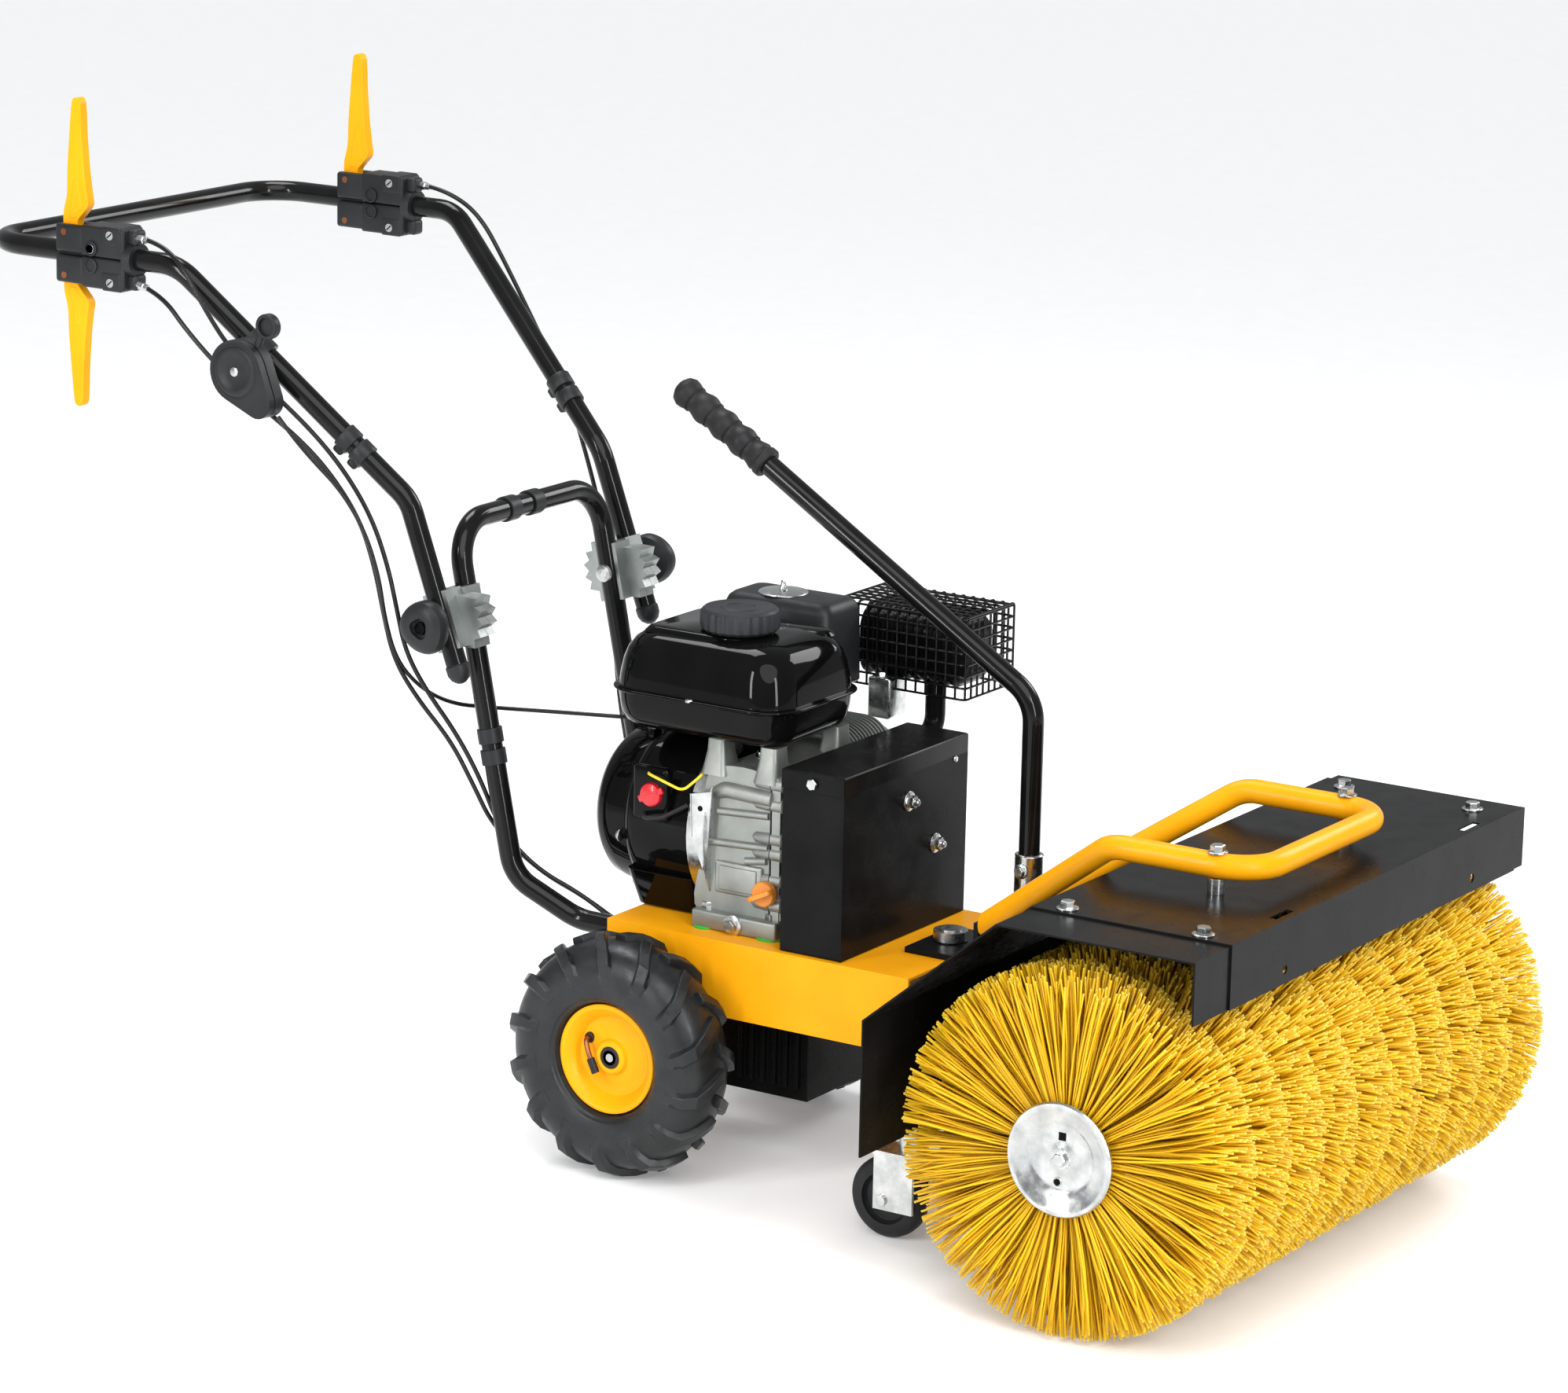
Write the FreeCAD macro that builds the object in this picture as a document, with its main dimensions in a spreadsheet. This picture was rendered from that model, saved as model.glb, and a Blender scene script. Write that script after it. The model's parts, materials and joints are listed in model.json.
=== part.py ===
import FreeCAD, Part
import math
import os
import re
import Sketcher

# Walk-behind power sweeper. Millimetres, +Z up, the brush towards -Y and the handlebar
# towards +Y. The drive axle lies along X at the height of the wheel centre, and every y size in
# the sheet is measured from that axle; axle_y moves the whole machine so that the middle of
# its length is at y = 0.

Vector = FreeCAD.Vector
document = FreeCAD.newDocument("walk_behind_sweeper")
sheet = document.addObject("Spreadsheet::Sheet", "Sizes")

SIZES = {
    # running gaps
    "shaft_gap": 0.05, "face_gap": 0.4, "sheet_gap": 0.3, "free_gap": 2.0,
    # chassis: a folded channel, open below and at both ends
    "chassis_half": 126, "chassis_top": 256, "chassis_low": 175, "chassis_wall": 3,
    "chassis_rear": 51, "chassis_front": -317, "slot_half": 84, "slot_front": -222, "slot_rear": -166,
    # wheels and axle
    "wheel_radius": 130, "wheel_track_half": 172, "tyre_half": 38, "axle_radius": 8,
    "rim_radius": 52, "rim_lip": 58, "rim_half": 26, "hub_radius": 16, "rim_sheet": 2.5,
    # handlebar and the clamps that it folds on
    "tube_radius": 11.35, "tube_wall": 2, "pivot_y": 228, "pivot_z": 556, "lower_half": 128,
    "upper_half": 174, "grip_half": 242, "foot_side_gap": 1.65, "lower_lean": 12.0,
    "upper_lean": 20.6, "lower_top_rise": 94, "lower_foot_drop": 274, "upper_tail": 50,
    "upper_rise": 122, "grip_z": 906, "grip_front": 524, "grip_rear": 784, "foot_gap": 1.15,
    "foot_bend_y": 103, "foot_end_y": -48, "clamp_radius": 37, "clamp_bolt_radius": 5,
    "clamp_tooth": 5, "knob_radius": 28, "knob_length": 34,
    # engine, on the chassis top
    "crank_z": 350, "crank_radius": 10, "case_left": 60, "case_right": -92, "case_front": -134,
    "case_rear": -42, "case_top": 440, "base_height": 16, "case_wall": 8, "boss_radius": 42,
    "boss_front": -155, "blower_radius": 92, "blower_front": -30, "blower_rear": 60,
    "recoil_radius": 84, "recoil_rear": 112, "cover_wall": 2,
    "tank_right": -110, "tank_left": 56, "tank_front": -145, "tank_rear": 69, "tank_low": 457,
    "tank_seam": 498, "tank_top": 560, "tank_lip": 6, "tank_wall": 2, "cap_x": -40, "cap_y": -51,
    "cap_radius": 42, "cap_top": 588, "neck_radius": 28,
    "head_left": 150, "head_low": 330, "head_front": -128, "head_rear": -46, "fin_pitch": 11,
    "cleaner_right": 66, "cleaner_left": 140, "cleaner_front": -90, "cleaner_rear": 45,
    "cleaner_low": 480, "cleaner_top": 572,
    "guard_right": 150, "guard_left": 250, "guard_front": -210, "guard_rear": -49,
    "guard_low": 472, "guard_top": 563, "guard_bar": 4,
    # belt drive under its cover
    "cover_half": 121, "cover_front": -233, "cover_rear": -157, "cover_top": 449, "cover_sheet": 1.5,
    "drive_z": 185.5, "upper_pulley": 30, "lower_pulley": 44, "flange_height": 6,
    "belt_thick": 8, "belt_wide": 10, "groove_wide": 13, "travel_belt_y": -180, "brush_belt_y": -206,
    "idler_radius": 13, "idler_gap": 8, "idler_arm": 62, "idler_pin": 5,
    # travel gearbox
    "box_half": 60, "box_front": -158, "box_rear": 48, "box_low": 78, "box_top": 226, "box_wall": 8,
    "worm_radius": 16, "worm_wheel": 39,
    # swivelling sweep head
    "swivel_y": -290, "pin_radius": 12, "arm_thick": 6, "arm_half": 48, "head_plate_y": -345,
    "yoke_radius": 12.5, "yoke_z": 436, "yoke_half": 135, "yoke_front": -711, "yoke_bend_y": -550,
    "yoke_foot_y": -352, "yoke_foot_z": 298, "yoke_foot_half": 36, "yoke_bolt_y": -667,
    "hood_right": -283, "hood_left": 327, "hood_half": 350, "hood_sheet": 2, "hood_top": 408,
    "hood_front": -765, "hood_flange": 64, "hood_rear": -547, "wall_top": 285, "wall_y": -400,
    "wall_low": 145, "beam_half": 205, "beam_low": 146, "beam_high": 170, "beam_rear": -340,
    "socket_x": 100, "socket_y": -322, "socket_low": 271, "socket_top": 338, "socket_radius": 15,
    "lever_bend_z": 502, "lever_end_y": 112, "lever_end_z": 770, "lever_grip": 128, "lever_grip_radius": 17,
    # brush
    "brush_y": -622.65, "brush_z": 185.5, "brush_radius": 185.5, "brush_half": 341, "brush_gap": 30,
    "brush_core": 42, "brush_shaft": 12.5, "disc_radius": 57, "drive_tube": 20, "drive_bore": 13,
    "input_radius": 8, "gear_half": 25, "gear_radius": 38,
    # castors
    "castor_x": 172, "castor_y": -331, "castor_radius": 42.5, "castor_half": 12, "castor_trail": 26,
    "castor_pin": 6, "stem_radius": 8,
    # levers and controls on the handlebar
    "mount_front": 580, "mount_rear": 640, "ear_rear": 676, "mount_half": 18, "mount_height": 34,
    "pin_y": 664, "pin_height": 23, "lever_pin": 3, "lever_length": 138, "lever_wide": 26, "lever_thick": 12,
    "throttle_share": 0.38904, "throttle_below": 15.285, "throttle_radius": 34, "throttle_inner": 232,
    "throttle_outer": 259, "cable_radius": 2.5, "cable_split": 10,
}
for row, (word, number) in enumerate(SIZES.items(), start=1):
    sheet.set(f"A{row}", word)
    sheet.set(f"B{row}", str(number))
    sheet.setAlias(f"B{row}", word)
next_row = len(SIZES) + 1
document.recompute()


def bound(text):
    """The same formula with each size's name pointing at its sheet cell."""
    return re.sub(r"[a-z_]\w*", lambda hit: "Sizes." + hit[0] if hit[0] in SIZES else hit[0], str(text))


def size(text):
    """A formula's number, read from the sheet."""
    return float(sheet.evalExpression(bound(text)))


# The row's origin is under the middle of the machine's length.
SIZES["axle_y"] = round(size("(brush_radius - brush_y - grip_rear - tube_radius) / 2"), 4)
sheet.set(f"A{next_row}", "axle_y")
sheet.set(f"B{next_row}", str(SIZES["axle_y"]))
sheet.setAlias(f"B{next_row}", "axle_y")
document.recompute()

ALONG = {
    "x": FreeCAD.Rotation(Vector(0, 1, 0), 90),
    "y": FreeCAD.Rotation(Vector(1, 0, 0), -90),
    "z": FreeCAD.Rotation(),
}


def place(piece, x, y, z, turn=None):
    """Put a piece at a point given from the axle, turned as its rotation says."""
    piece.Placement = FreeCAD.Placement(Vector(), turn or FreeCAD.Rotation())
    piece.setExpression(".Placement.Base.x", bound(x))
    piece.setExpression(".Placement.Base.y", bound(f"{y} + axle_y"))
    piece.setExpression(".Placement.Base.z", bound(z))
    return piece


def block(name, x_range, y_range, z_range):
    """A box between a low and a high plane on each axis."""
    piece = document.addObject("Part::Box", name)
    for side, (low, high) in zip(("Length", "Width", "Height"), (x_range, y_range, z_range)):
        piece.setExpression(side, bound(f"({high}) - ({low})"))
    return place(piece, x_range[0], y_range[0], z_range[0])


def rod(name, axis, start, radius, length):
    """A cylinder from its start point along +X, +Y or +Z."""
    piece = document.addObject("Part::Cylinder", name)
    piece.setExpression("Radius", bound(radius))
    piece.setExpression("Height", bound(length))
    return place(piece, *start, ALONG[axis])


def group(name, *pieces):
    """Separate solids that share one node."""
    piece = document.addObject("Part::Compound", name)
    piece.Links = list(pieces)
    return piece


def fused(name, *pieces):
    piece = document.addObject("Part::MultiFuse", name)
    piece.Shapes = list(pieces)
    return piece


def carved(name, base, *tools):
    piece = document.addObject("Part::Cut", name)
    piece.Base = base
    piece.Tool = tools[0] if len(tools) == 1 else fused(name + "_tools", *tools)
    return piece


def mirrored(piece):
    """The same piece on the machine's other side."""
    copy = document.addObject("Part::Mirroring", piece.Name + "_other")
    copy.Source = piece
    copy.Normal = Vector(1, 0, 0)
    return copy


def both(name, piece):
    return group(name, piece, mirrored(piece))


def outline_sketch(body, plane_role, outline):
    """A closed outline of straight sides, each corner tied to the sheet."""
    sketch = body.newObject("Sketcher::SketchObject", body.Name + "_sketch")
    plane = next(item for item in body.Origin.OriginFeatures if item.Role == plane_role)
    sketch.AttachmentSupport = [(plane, "")]
    sketch.MapMode = "FlatFace"
    corners = [Vector(size(across), size(up), 0) for across, up in outline]
    count = len(corners)
    for index in range(count):
        sketch.addGeometry(Part.LineSegment(corners[index], corners[(index + 1) % count]), False)
    for index in range(count):
        sketch.addConstraint(Sketcher.Constraint("Coincident", index, 2, (index + 1) % count, 1))
    for index, pair in enumerate(outline):
        for kind, text in zip(("DistanceX", "DistanceY"), pair):
            number = sketch.addConstraint(Sketcher.Constraint(kind, -1, 1, index, 1, size(text)))
            sketch.setExpression(f"Constraints[{number}]", bound(text))
    return sketch


def side_profile(name, outline, x_low, x_high):
    """A side view in y and z, drawn from the axle, padded along X between two planes."""
    body = document.addObject("PartDesign::Body", name)
    sketch = outline_sketch(body, "YZ_Plane", outline)
    pad = body.newObject("PartDesign::Pad", name + "_pad")
    pad.Profile = sketch
    pad.setExpression("Length", bound(f"({x_high}) - ({x_low})"))
    return place(body, x_low, "0", "0")


def turned(name, axis, centre, outline):
    """A solid of revolution about X, Y or Z; the outline gives places along and radii."""
    body = document.addObject("PartDesign::Body", name)
    if axis == "z":
        sketch = outline_sketch(body, "XZ_Plane", [(radius, along) for along, radius in outline])
    else:
        sketch = outline_sketch(body, "XZ_Plane" if axis == "x" else "YZ_Plane", outline)
    spin = body.newObject("PartDesign::Revolution", name + "_turn")
    spin.Profile = sketch
    spin.ReferenceAxis = (sketch, ["V_Axis" if axis == "z" else "H_Axis"])
    spin.Angle = 360
    return place(body, *centre)


def spot(x, y, z):
    """A point of the machine, from sheet formulas measured from the axle."""
    return Vector(size(x), size(f"{y} + axle_y"), size(z))


def solid_feature(name, shape):
    """A sub-part whose shape is worked out here from the sheet."""
    piece = document.addObject("Part::Feature", name)
    piece.Shape = shape
    piece.Placement = FreeCAD.Placement()
    return piece


def route(points, bend):
    """Straight runs joined by tangent arcs, no arc longer than its runs allow."""
    edges = []
    start = points[0]
    for before, corner, after in zip(points, points[1:], points[2:]):
        back = (before - corner).normalize()
        ahead = (after - corner).normalize()
        half_turn = (math.pi - back.getAngle(ahead)) / 2
        reach = min(bend * math.tan(half_turn), 0.45 * (corner - before).Length, 0.45 * (after - corner).Length)
        radius = reach / math.tan(half_turn)
        centre = corner + (back + ahead).normalize() * (radius / math.cos(half_turn))
        middle = centre + (corner - centre).normalize() * radius
        entry = corner + back * reach
        leave = corner + ahead * reach
        edges.append(Part.LineSegment(start, entry).toShape())
        edges.append(Part.Arc(entry, middle, leave).toShape())
        start = leave
    edges.append(Part.LineSegment(start, points[-1]).toShape())
    return Part.Wire(edges)


def pipe(points, radius, bend, wall=0):
    """A round bar, or a tube where a wall is given, along a route."""
    path = route(points, bend)
    heading = points[1] - points[0]

    def swept(section):
        ring = Part.Wire([Part.Circle(points[0], heading, section).toShape()])
        return path.makePipeShell([ring], True, False)

    outer = swept(radius)
    return outer.cut(swept(radius - wall)) if wall else outer


def bar_between(start, end, radius):
    return Part.makeCylinder(radius, (end - start).Length, start, end - start)


def upper_leg_point(side, rise):
    """A point on a handlebar leg, a height above the fold axis."""
    lean = math.tan(math.radians(size("upper_lean")))
    return spot(f"{side} * upper_half", f"pivot_y + {rise * lean}", f"pivot_z + {rise}")


def lower_leg_point(side, rise):
    lean = math.tan(math.radians(size("lower_lean")))
    return spot(f"{side} * lower_half", f"pivot_y + {rise * lean}", f"pivot_z + {rise}")


# Chassis
def chassis_frame():
    shell = block("chassis_blank", ("-chassis_half", "chassis_half"), ("chassis_front", "chassis_rear"),
                  ("chassis_low", "chassis_top"))
    inner = block("chassis_inside", ("-chassis_half + chassis_wall", "chassis_half - chassis_wall"),
                  ("chassis_front - 1", "chassis_rear + 1"), ("chassis_low - 1", "chassis_top - chassis_wall"))
    slot = block("belt_slot", ("-slot_half", "slot_half"), ("slot_front", "slot_rear"),
                 ("chassis_top - 9", "chassis_top + 1"))
    bolt_holes = [rod(f"engine_hole_{x}_{y}", "z", (x, y, "chassis_top - 9"), "4 + shaft_gap", "12")
                  for x in ENGINE_BOLT_X for y in ENGINE_BOLT_Y]
    pin_hole = rod("swivel_hole", "z", ("0", "swivel_y", "chassis_top - 9"), "pin_radius + shaft_gap", "12")
    channel = carved("chassis_channel", shell, inner, slot, pin_hole, *bolt_holes)
    # axle hangers: plates inside the channel's sides that reach down to the axle
    hanger = carved(
        "axle_hanger",
        block("hanger_blank", ("chassis_half - 9", "chassis_half - chassis_wall"), ("-30", "30"),
              ("wheel_radius - 22", "chassis_top - chassis_wall")),
        rod("hanger_bore", "x", ("chassis_half - 12", "0", "wheel_radius"), "axle_radius + shaft_gap", "14"))
    # a bearing plate hangs the brush drive shaft below the chassis top
    bearing = carved("shaft_bearing",
                     block("bearing_plate", ("-30", "30"), ("-252", "-240"),
                           ("drive_z - 30", "chassis_top - chassis_wall")),
                     rod("bearing_bore", "y", ("0", "-256", "drive_z"), "input_radius + shaft_gap", "20"))
    return fused("chassis_frame", channel, hanger, mirrored(hanger), bearing)


ENGINE_BOLT_X = ("case_left - 12", "case_right + 6")
ENGINE_BOLT_Y = ("case_front + 7", "case_rear - 7")


# the handle's feet lie just under the chassis sheet, inside its axle hangers
FOOT_X = "(chassis_half - 9 - foot_side_gap - tube_radius)"
FOOT_Z = "(chassis_top - chassis_wall - foot_gap - tube_radius)"


def lower_handle_points():
    half = [
        spot(FOOT_X, "foot_end_y", FOOT_Z),
        spot(FOOT_X, "foot_bend_y", FOOT_Z),
        spot("lower_half", f"pivot_y - lower_foot_drop * {math.tan(math.radians(size('lower_lean')))}",
             "pivot_z - lower_foot_drop"),
        lower_leg_point(1, size("lower_top_rise")),
    ]
    return half + [Vector(-point.x, point.y, point.z) for point in reversed(half)]


def lower_handle_tube():
    tube = pipe(lower_handle_points(), size("tube_radius"), 48, size("tube_wall"))
    for side in (-1, 1):
        centre = lower_leg_point(side, 0)
        tube = tube.cut(bar_between(centre - Vector(30, 0, 0), centre + Vector(30, 0, 0),
                                    size("clamp_bolt_radius + shaft_gap")))
    return solid_feature("lower_handle_tube", tube)


def clamp_half(side, tube_x, mate_x, leg_start, leg_end):
    """A cast disc that grips one tube and meets its partner at the mating plane."""
    centre = spot(f"{side * mate_x}", "pivot_y", "pivot_z")
    outward = 1 if tube_x > mate_x else -1
    reach = abs(tube_x - mate_x) + size("tube_radius") * 0.4
    direction = Vector(side * outward, 0, 0)
    radius = size("clamp_radius")
    tooth = size("clamp_tooth")
    points = []
    teeth = 5
    for face in (0, math.pi):
        for index in range(2 * teeth + 1):
            angle = face + math.radians(-48 + 96 * index / (2 * teeth))
            out = radius + (tooth if index % 2 else -tooth * 0.3)
            points.append(centre + Vector(0, math.cos(angle) * out, math.sin(angle) * out))
    disc = Part.Face(Part.makePolygon(points + points[:1])).extrude(direction * 13)
    saddle = Part.makeBox(reach, 30, 62, Vector(0, -15, -31))
    lean = math.degrees(math.atan2(leg_end.y - leg_start.y, leg_end.z - leg_start.z))
    saddle.rotate(Vector(), Vector(1, 0, 0), -lean)
    if side * outward < 0:
        saddle = saddle.mirror(Vector(), Vector(1, 0, 0))
    saddle.translate(centre)
    half = disc.fuse(saddle)
    half = half.cut(bar_between(leg_start, leg_end, size("tube_radius + shaft_gap")))
    bolt_hole = bar_between(centre - Vector(60, 0, 0), centre + Vector(60, 0, 0),
                            size("clamp_bolt_radius + shaft_gap"))
    return half.cut(bolt_hole)


def clamp_halves():
    middle = size("(lower_half + upper_half) / 2")
    gap = size("face_gap") / 2
    inner = [clamp_half(side, size("lower_half"), middle - gap, lower_leg_point(side, -60),
                        lower_leg_point(side, 60)) for side in (-1, 1)]
    outer = [clamp_half(side, size("upper_half"), middle + gap, upper_leg_point(side, -60),
                        upper_leg_point(side, 60)) for side in (-1, 1)]
    solid_feature("clamp_inner_halves", Part.Compound(inner))
    solid_feature("clamp_outer_halves", Part.Compound(outer))


def clamp_bolts():
    """A carriage bolt from inside each lower leg out to its knob."""
    shank = rod("clamp_shank", "x", ("lower_half - tube_radius - 1", "pivot_y", "pivot_z"), "clamp_bolt_radius",
                "upper_half - lower_half + tube_radius * 2 + 25")
    head = turned("clamp_bolt_head", "x", ("lower_half - tube_radius - 6", "pivot_y", "pivot_z"),
                  [("0", "0"), ("5.6", "0"), ("5.6", "10"), ("3", "9"), ("0.8", "5.5")])
    return both("clamp_bolts", fused("clamp_bolt", shank, head))


def clamp_knob(name, side):
    """A round three-lobed hand knob, threaded on the clamp bolt."""
    start = "upper_half + tube_radius + face_gap"
    body = turned(name + "_round", "x", (start, "pivot_y", "pivot_z"),
                  [("0", "clamp_bolt_radius + shaft_gap"), ("0", "12"), ("10", "13"), ("14", "knob_radius - 3"),
                   ("19", "knob_radius"), ("knob_length - 8", "knob_radius"), ("knob_length", "knob_radius - 8"),
                   ("knob_length", "9"), ("knob_length - 5", "9"), ("knob_length - 5", "0"), ("27", "0"),
                   ("27", "clamp_bolt_radius + shaft_gap")])
    cuts = []
    for index in range(3):
        angle = math.radians(90 + 120 * index)
        cuts.append(rod(f"{name}_lobe_{index}", "x",
                        (f"{start} + 12", f"pivot_y + (knob_radius + 5) * {math.cos(angle)}",
                         f"pivot_z + (knob_radius + 5) * {math.sin(angle)}"), "9", "knob_length"))
    knob = carved(name if side > 0 else name + "_left_form", body, *cuts)
    if side < 0:
        copy = mirrored(knob)
        copy.Label = name


def pivot_pin():
    return fused("swivel_pin",
                 rod("swivel_shank", "z", ("0", "swivel_y", "chassis_top - chassis_wall - arm_thick - 14"),
                     "pin_radius", "chassis_wall + 2 * arm_thick + 28"),
                 rod("swivel_head", "z", ("0", "swivel_y", "chassis_top + arm_thick + 2"), "pin_radius + 6",
                     "10"))


# Engine
def engine_crankcase():
    base = block("engine_base", ("case_right - 8", "case_left + 2"), ("case_front - 6", "case_rear + 6"),
                 ("chassis_top", "chassis_top + base_height"))
    case = block("engine_case", ("case_right", "case_left"), ("case_front", "case_rear"),
                 ("chassis_top + 1", "case_top"))
    boss = rod("case_boss", "y", ("0", "boss_front", "crank_z"), "boss_radius", "case_front - boss_front + 1")
    nose = rod("case_nose", "y", ("0", "case_rear - 1", "crank_z"), "24", "14")
    posts = [block(f"tank_post_{x}_{y}", (f"{x} - 12", f"{x} + 12"), (f"{y} - 10", f"{y} + 10"),
                   ("case_top - 1", "tank_low")) for x in ("-78", "40") for y in ("-120", "-56")]
    inside = block("case_inside", ("case_right + case_wall", "case_left - case_wall"),
                   ("case_front + case_wall", "case_rear - case_wall"),
                   ("chassis_top + base_height + 4", "case_top - case_wall"))
    bore = rod("case_bore", "y", ("0", "boss_front - 1", "crank_z"), "crank_radius + shaft_gap", "140")
    filler = rod("filler_bore", "x", ("case_right - 10", "case_front + 10", "chassis_top + 49"),
                 "9 + shaft_gap", "26")
    holes = [rod(f"base_hole_{x}_{y}", "z", (x, y, "chassis_top - 1"), "4 + shaft_gap", "base_height + 8")
             for x in ENGINE_BOLT_X for y in ENGINE_BOLT_Y]
    pockets = [rod(f"base_pocket_{x}_{y}", "z", (x, y, "chassis_top + base_height"), "9", "20")
               for x in ENGINE_BOLT_X for y in ENGINE_BOLT_Y]
    solid = fused("case_solid", base, case, boss, nose, *posts)
    return carved("engine_crankcase", solid, inside, bore, filler, *holes, *pockets)


def chassis_bolts():
    """The engine's four studs with nuts, and the two studs on the belt cover's front."""
    bolts = []
    for index, (x, y) in enumerate((x, y) for x in ENGINE_BOLT_X for y in ENGINE_BOLT_Y):
        bolts.append(fused(f"engine_bolt_{index}",
                           rod(f"engine_stud_{index}", "z", (x, y, "chassis_top - 9"), "4", "base_height + 22"),
                           rod(f"engine_nut_{index}", "z", (x, y, "chassis_top + base_height"), "8", "7"),
                           rod(f"engine_head_{index}", "z", (x, y, "chassis_top - 9"), "7", "6")))
    for index, (x, z) in enumerate((("4", "400"), ("58", "344"))):
        bolts.append(fused(f"cover_bolt_{index}",
                           rod(f"cover_stud_{index}", "y", (x, "cover_front - 13", z), "4", "16"),
                           rod(f"cover_nut_{index}", "y", (x, "cover_front - 8", z), "8", "8")))
    return group("chassis_bolts", *bolts)


def crank_parts():
    cheek_y = "(case_front + case_rear) / 2"
    fused("crankshaft",
          rod("crank_bar", "y", ("0", "cover_front + 6", "crank_z"), "crank_radius",
              "blower_rear - cover_front - 8"),
          rod("crank_cheek_front", "y", ("0", f"{cheek_y} - 22", "crank_z"), "36", "12"),
          rod("crank_cheek_rear", "y", ("0", f"{cheek_y} + 10", "crank_z"), "36", "12"))
    disc = rod("flywheel_disc", "y", ("0", "blower_front + 18", "crank_z"), "blower_radius - 12", "18")
    rim = rod("flywheel_vanes", "y", ("0", "blower_front + 36", "crank_z"), "blower_radius - 18", "22")
    hollow = rod("flywheel_hollow", "y", ("0", "blower_front + 37", "crank_z"), "blower_radius - 38", "30")
    bore = rod("flywheel_bore", "y", ("0", "blower_front", "crank_z"), "crank_radius", "80")
    carved("flywheel", fused("flywheel_solid", disc, rim), hollow, bore)
    pulley("engine_pulley", "upper_pulley", "crank_z", ("travel_belt_y", "brush_belt_y"), "crank_radius")


def pulley(name, radius, z, belts, bore):
    """A grooved pulley on a shaft along Y, with a groove for each belt."""
    outline = [(f"{belts[-1]} - groove_wide / 2 - 4", bore)]
    for belt in reversed(belts):
        outline += [(f"{belt} - groove_wide / 2 - 4", f"{radius} + flange_height"),
                    (f"{belt} - groove_wide / 2", f"{radius} + flange_height"),
                    (f"{belt} - groove_wide / 2", radius),
                    (f"{belt} + groove_wide / 2", radius),
                    (f"{belt} + groove_wide / 2", f"{radius} + flange_height"),
                    (f"{belt} + groove_wide / 2 + 4", f"{radius} + flange_height")]
    outline += [(f"{belts[0]} + groove_wide / 2 + 4", bore)]
    return turned(name, "y", ("0", "0", z), outline)


def belt_loop(y_text):
    """One endless belt round an engine pulley and a lower pulley, slack by a small gap."""
    top = size("crank_z")
    low = size("drive_z")
    slack = size("free_gap") * 0.4

    def outline(extra):
        upper = size("upper_pulley") + extra
        lower = size("lower_pulley") + extra
        lean = math.asin((lower - upper) / (top - low))
        y = size(f"{y_text} - belt_wide / 2 + axle_y")

        def rim(centre, radius, angle):
            return Vector(radius * math.cos(angle), y, centre + radius * math.sin(angle))

        right_up, right_low = rim(top, upper, -lean), rim(low, lower, -lean)
        left_up, left_low = rim(top, upper, math.pi + lean), rim(low, lower, math.pi + lean)
        return Part.Face(Part.Wire([
            Part.LineSegment(right_low, right_up).toShape(),
            Part.Arc(right_up, rim(top, upper, math.pi / 2), left_up).toShape(),
            Part.LineSegment(left_up, left_low).toShape(),
            Part.Arc(left_low, rim(low, lower, -math.pi / 2), right_low).toShape()]))

    ring = outline(slack + size("belt_thick")).cut(outline(slack))
    return ring.Faces[0].extrude(Vector(0, size("belt_wide"), 0))


def idler_arm(name, side, y_text):
    """A tensioner: an arm on a pin of the cover, with a roller that presses the belt's outer run."""
    run = size("(upper_pulley + lower_pulley) / 2 + belt_thick + free_gap * 0.4")
    x = side * (run + size("idler_radius + idler_gap"))
    y = size(f"{y_text} - groove_wide / 2 + axle_y")
    wide = size("groove_wide")
    low = Vector(x, y, size("(crank_z + drive_z) / 2"))
    high = low + Vector(0, 0, size("idler_arm"))
    roller = Part.makeCylinder(size("idler_radius"), wide, low, Vector(0, 1, 0))
    eye = Part.makeCylinder(size("idler_pin") + 6, 5, high, Vector(0, 1, 0))
    web = Part.makeBox(12, 5, size("idler_arm"), low - Vector(6, 0, 0))
    bore = Part.makeCylinder(size("idler_pin + shaft_gap"), 20, high - Vector(0, 5, 0), Vector(0, 1, 0))
    return solid_feature(name, roller.fuse([eye, web]).cut(bore))


def belt_cover():
    shell = block("cover_blank", ("-cover_half", "cover_half"), ("cover_front", "cover_rear"),
                  ("chassis_top", "cover_top"))
    inside = block("cover_inside", ("-cover_half + cover_sheet", "cover_half - cover_sheet"),
                   ("cover_front + cover_sheet", "cover_rear - cover_sheet"),
                   ("chassis_top - 1", "cover_top - cover_sheet"))
    bore = rod("cover_bore", "y", ("0", "cover_rear - 6", "crank_z"), "crank_radius + 4", "12")
    holes = [rod(f"cover_hole_{x}", "y", (x, "cover_front - 2", z), "4", "8")
             for x, z in (("4", "400"), ("58", "344"))]
    box = carved("cover_shell", shell, inside, bore, *holes)
    run = "(upper_pulley + lower_pulley) / 2 + belt_thick + free_gap * 0.4 + idler_radius + idler_gap"
    pins = []
    for side, belt in (("-1", "travel_belt_y"), ("1", "brush_belt_y")):
        pins.append(rod(f"idler_stud_{belt}", "y",
                        (f"{side} * ({run})", f"{belt} - groove_wide / 2 - 3",
                         "(crank_z + drive_z) / 2 + idler_arm"),
                        "idler_pin", f"cover_rear - {belt} + groove_wide / 2 + 3 - cover_sheet / 2"))
    return fused("belt_cover", box, *pins)


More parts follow.
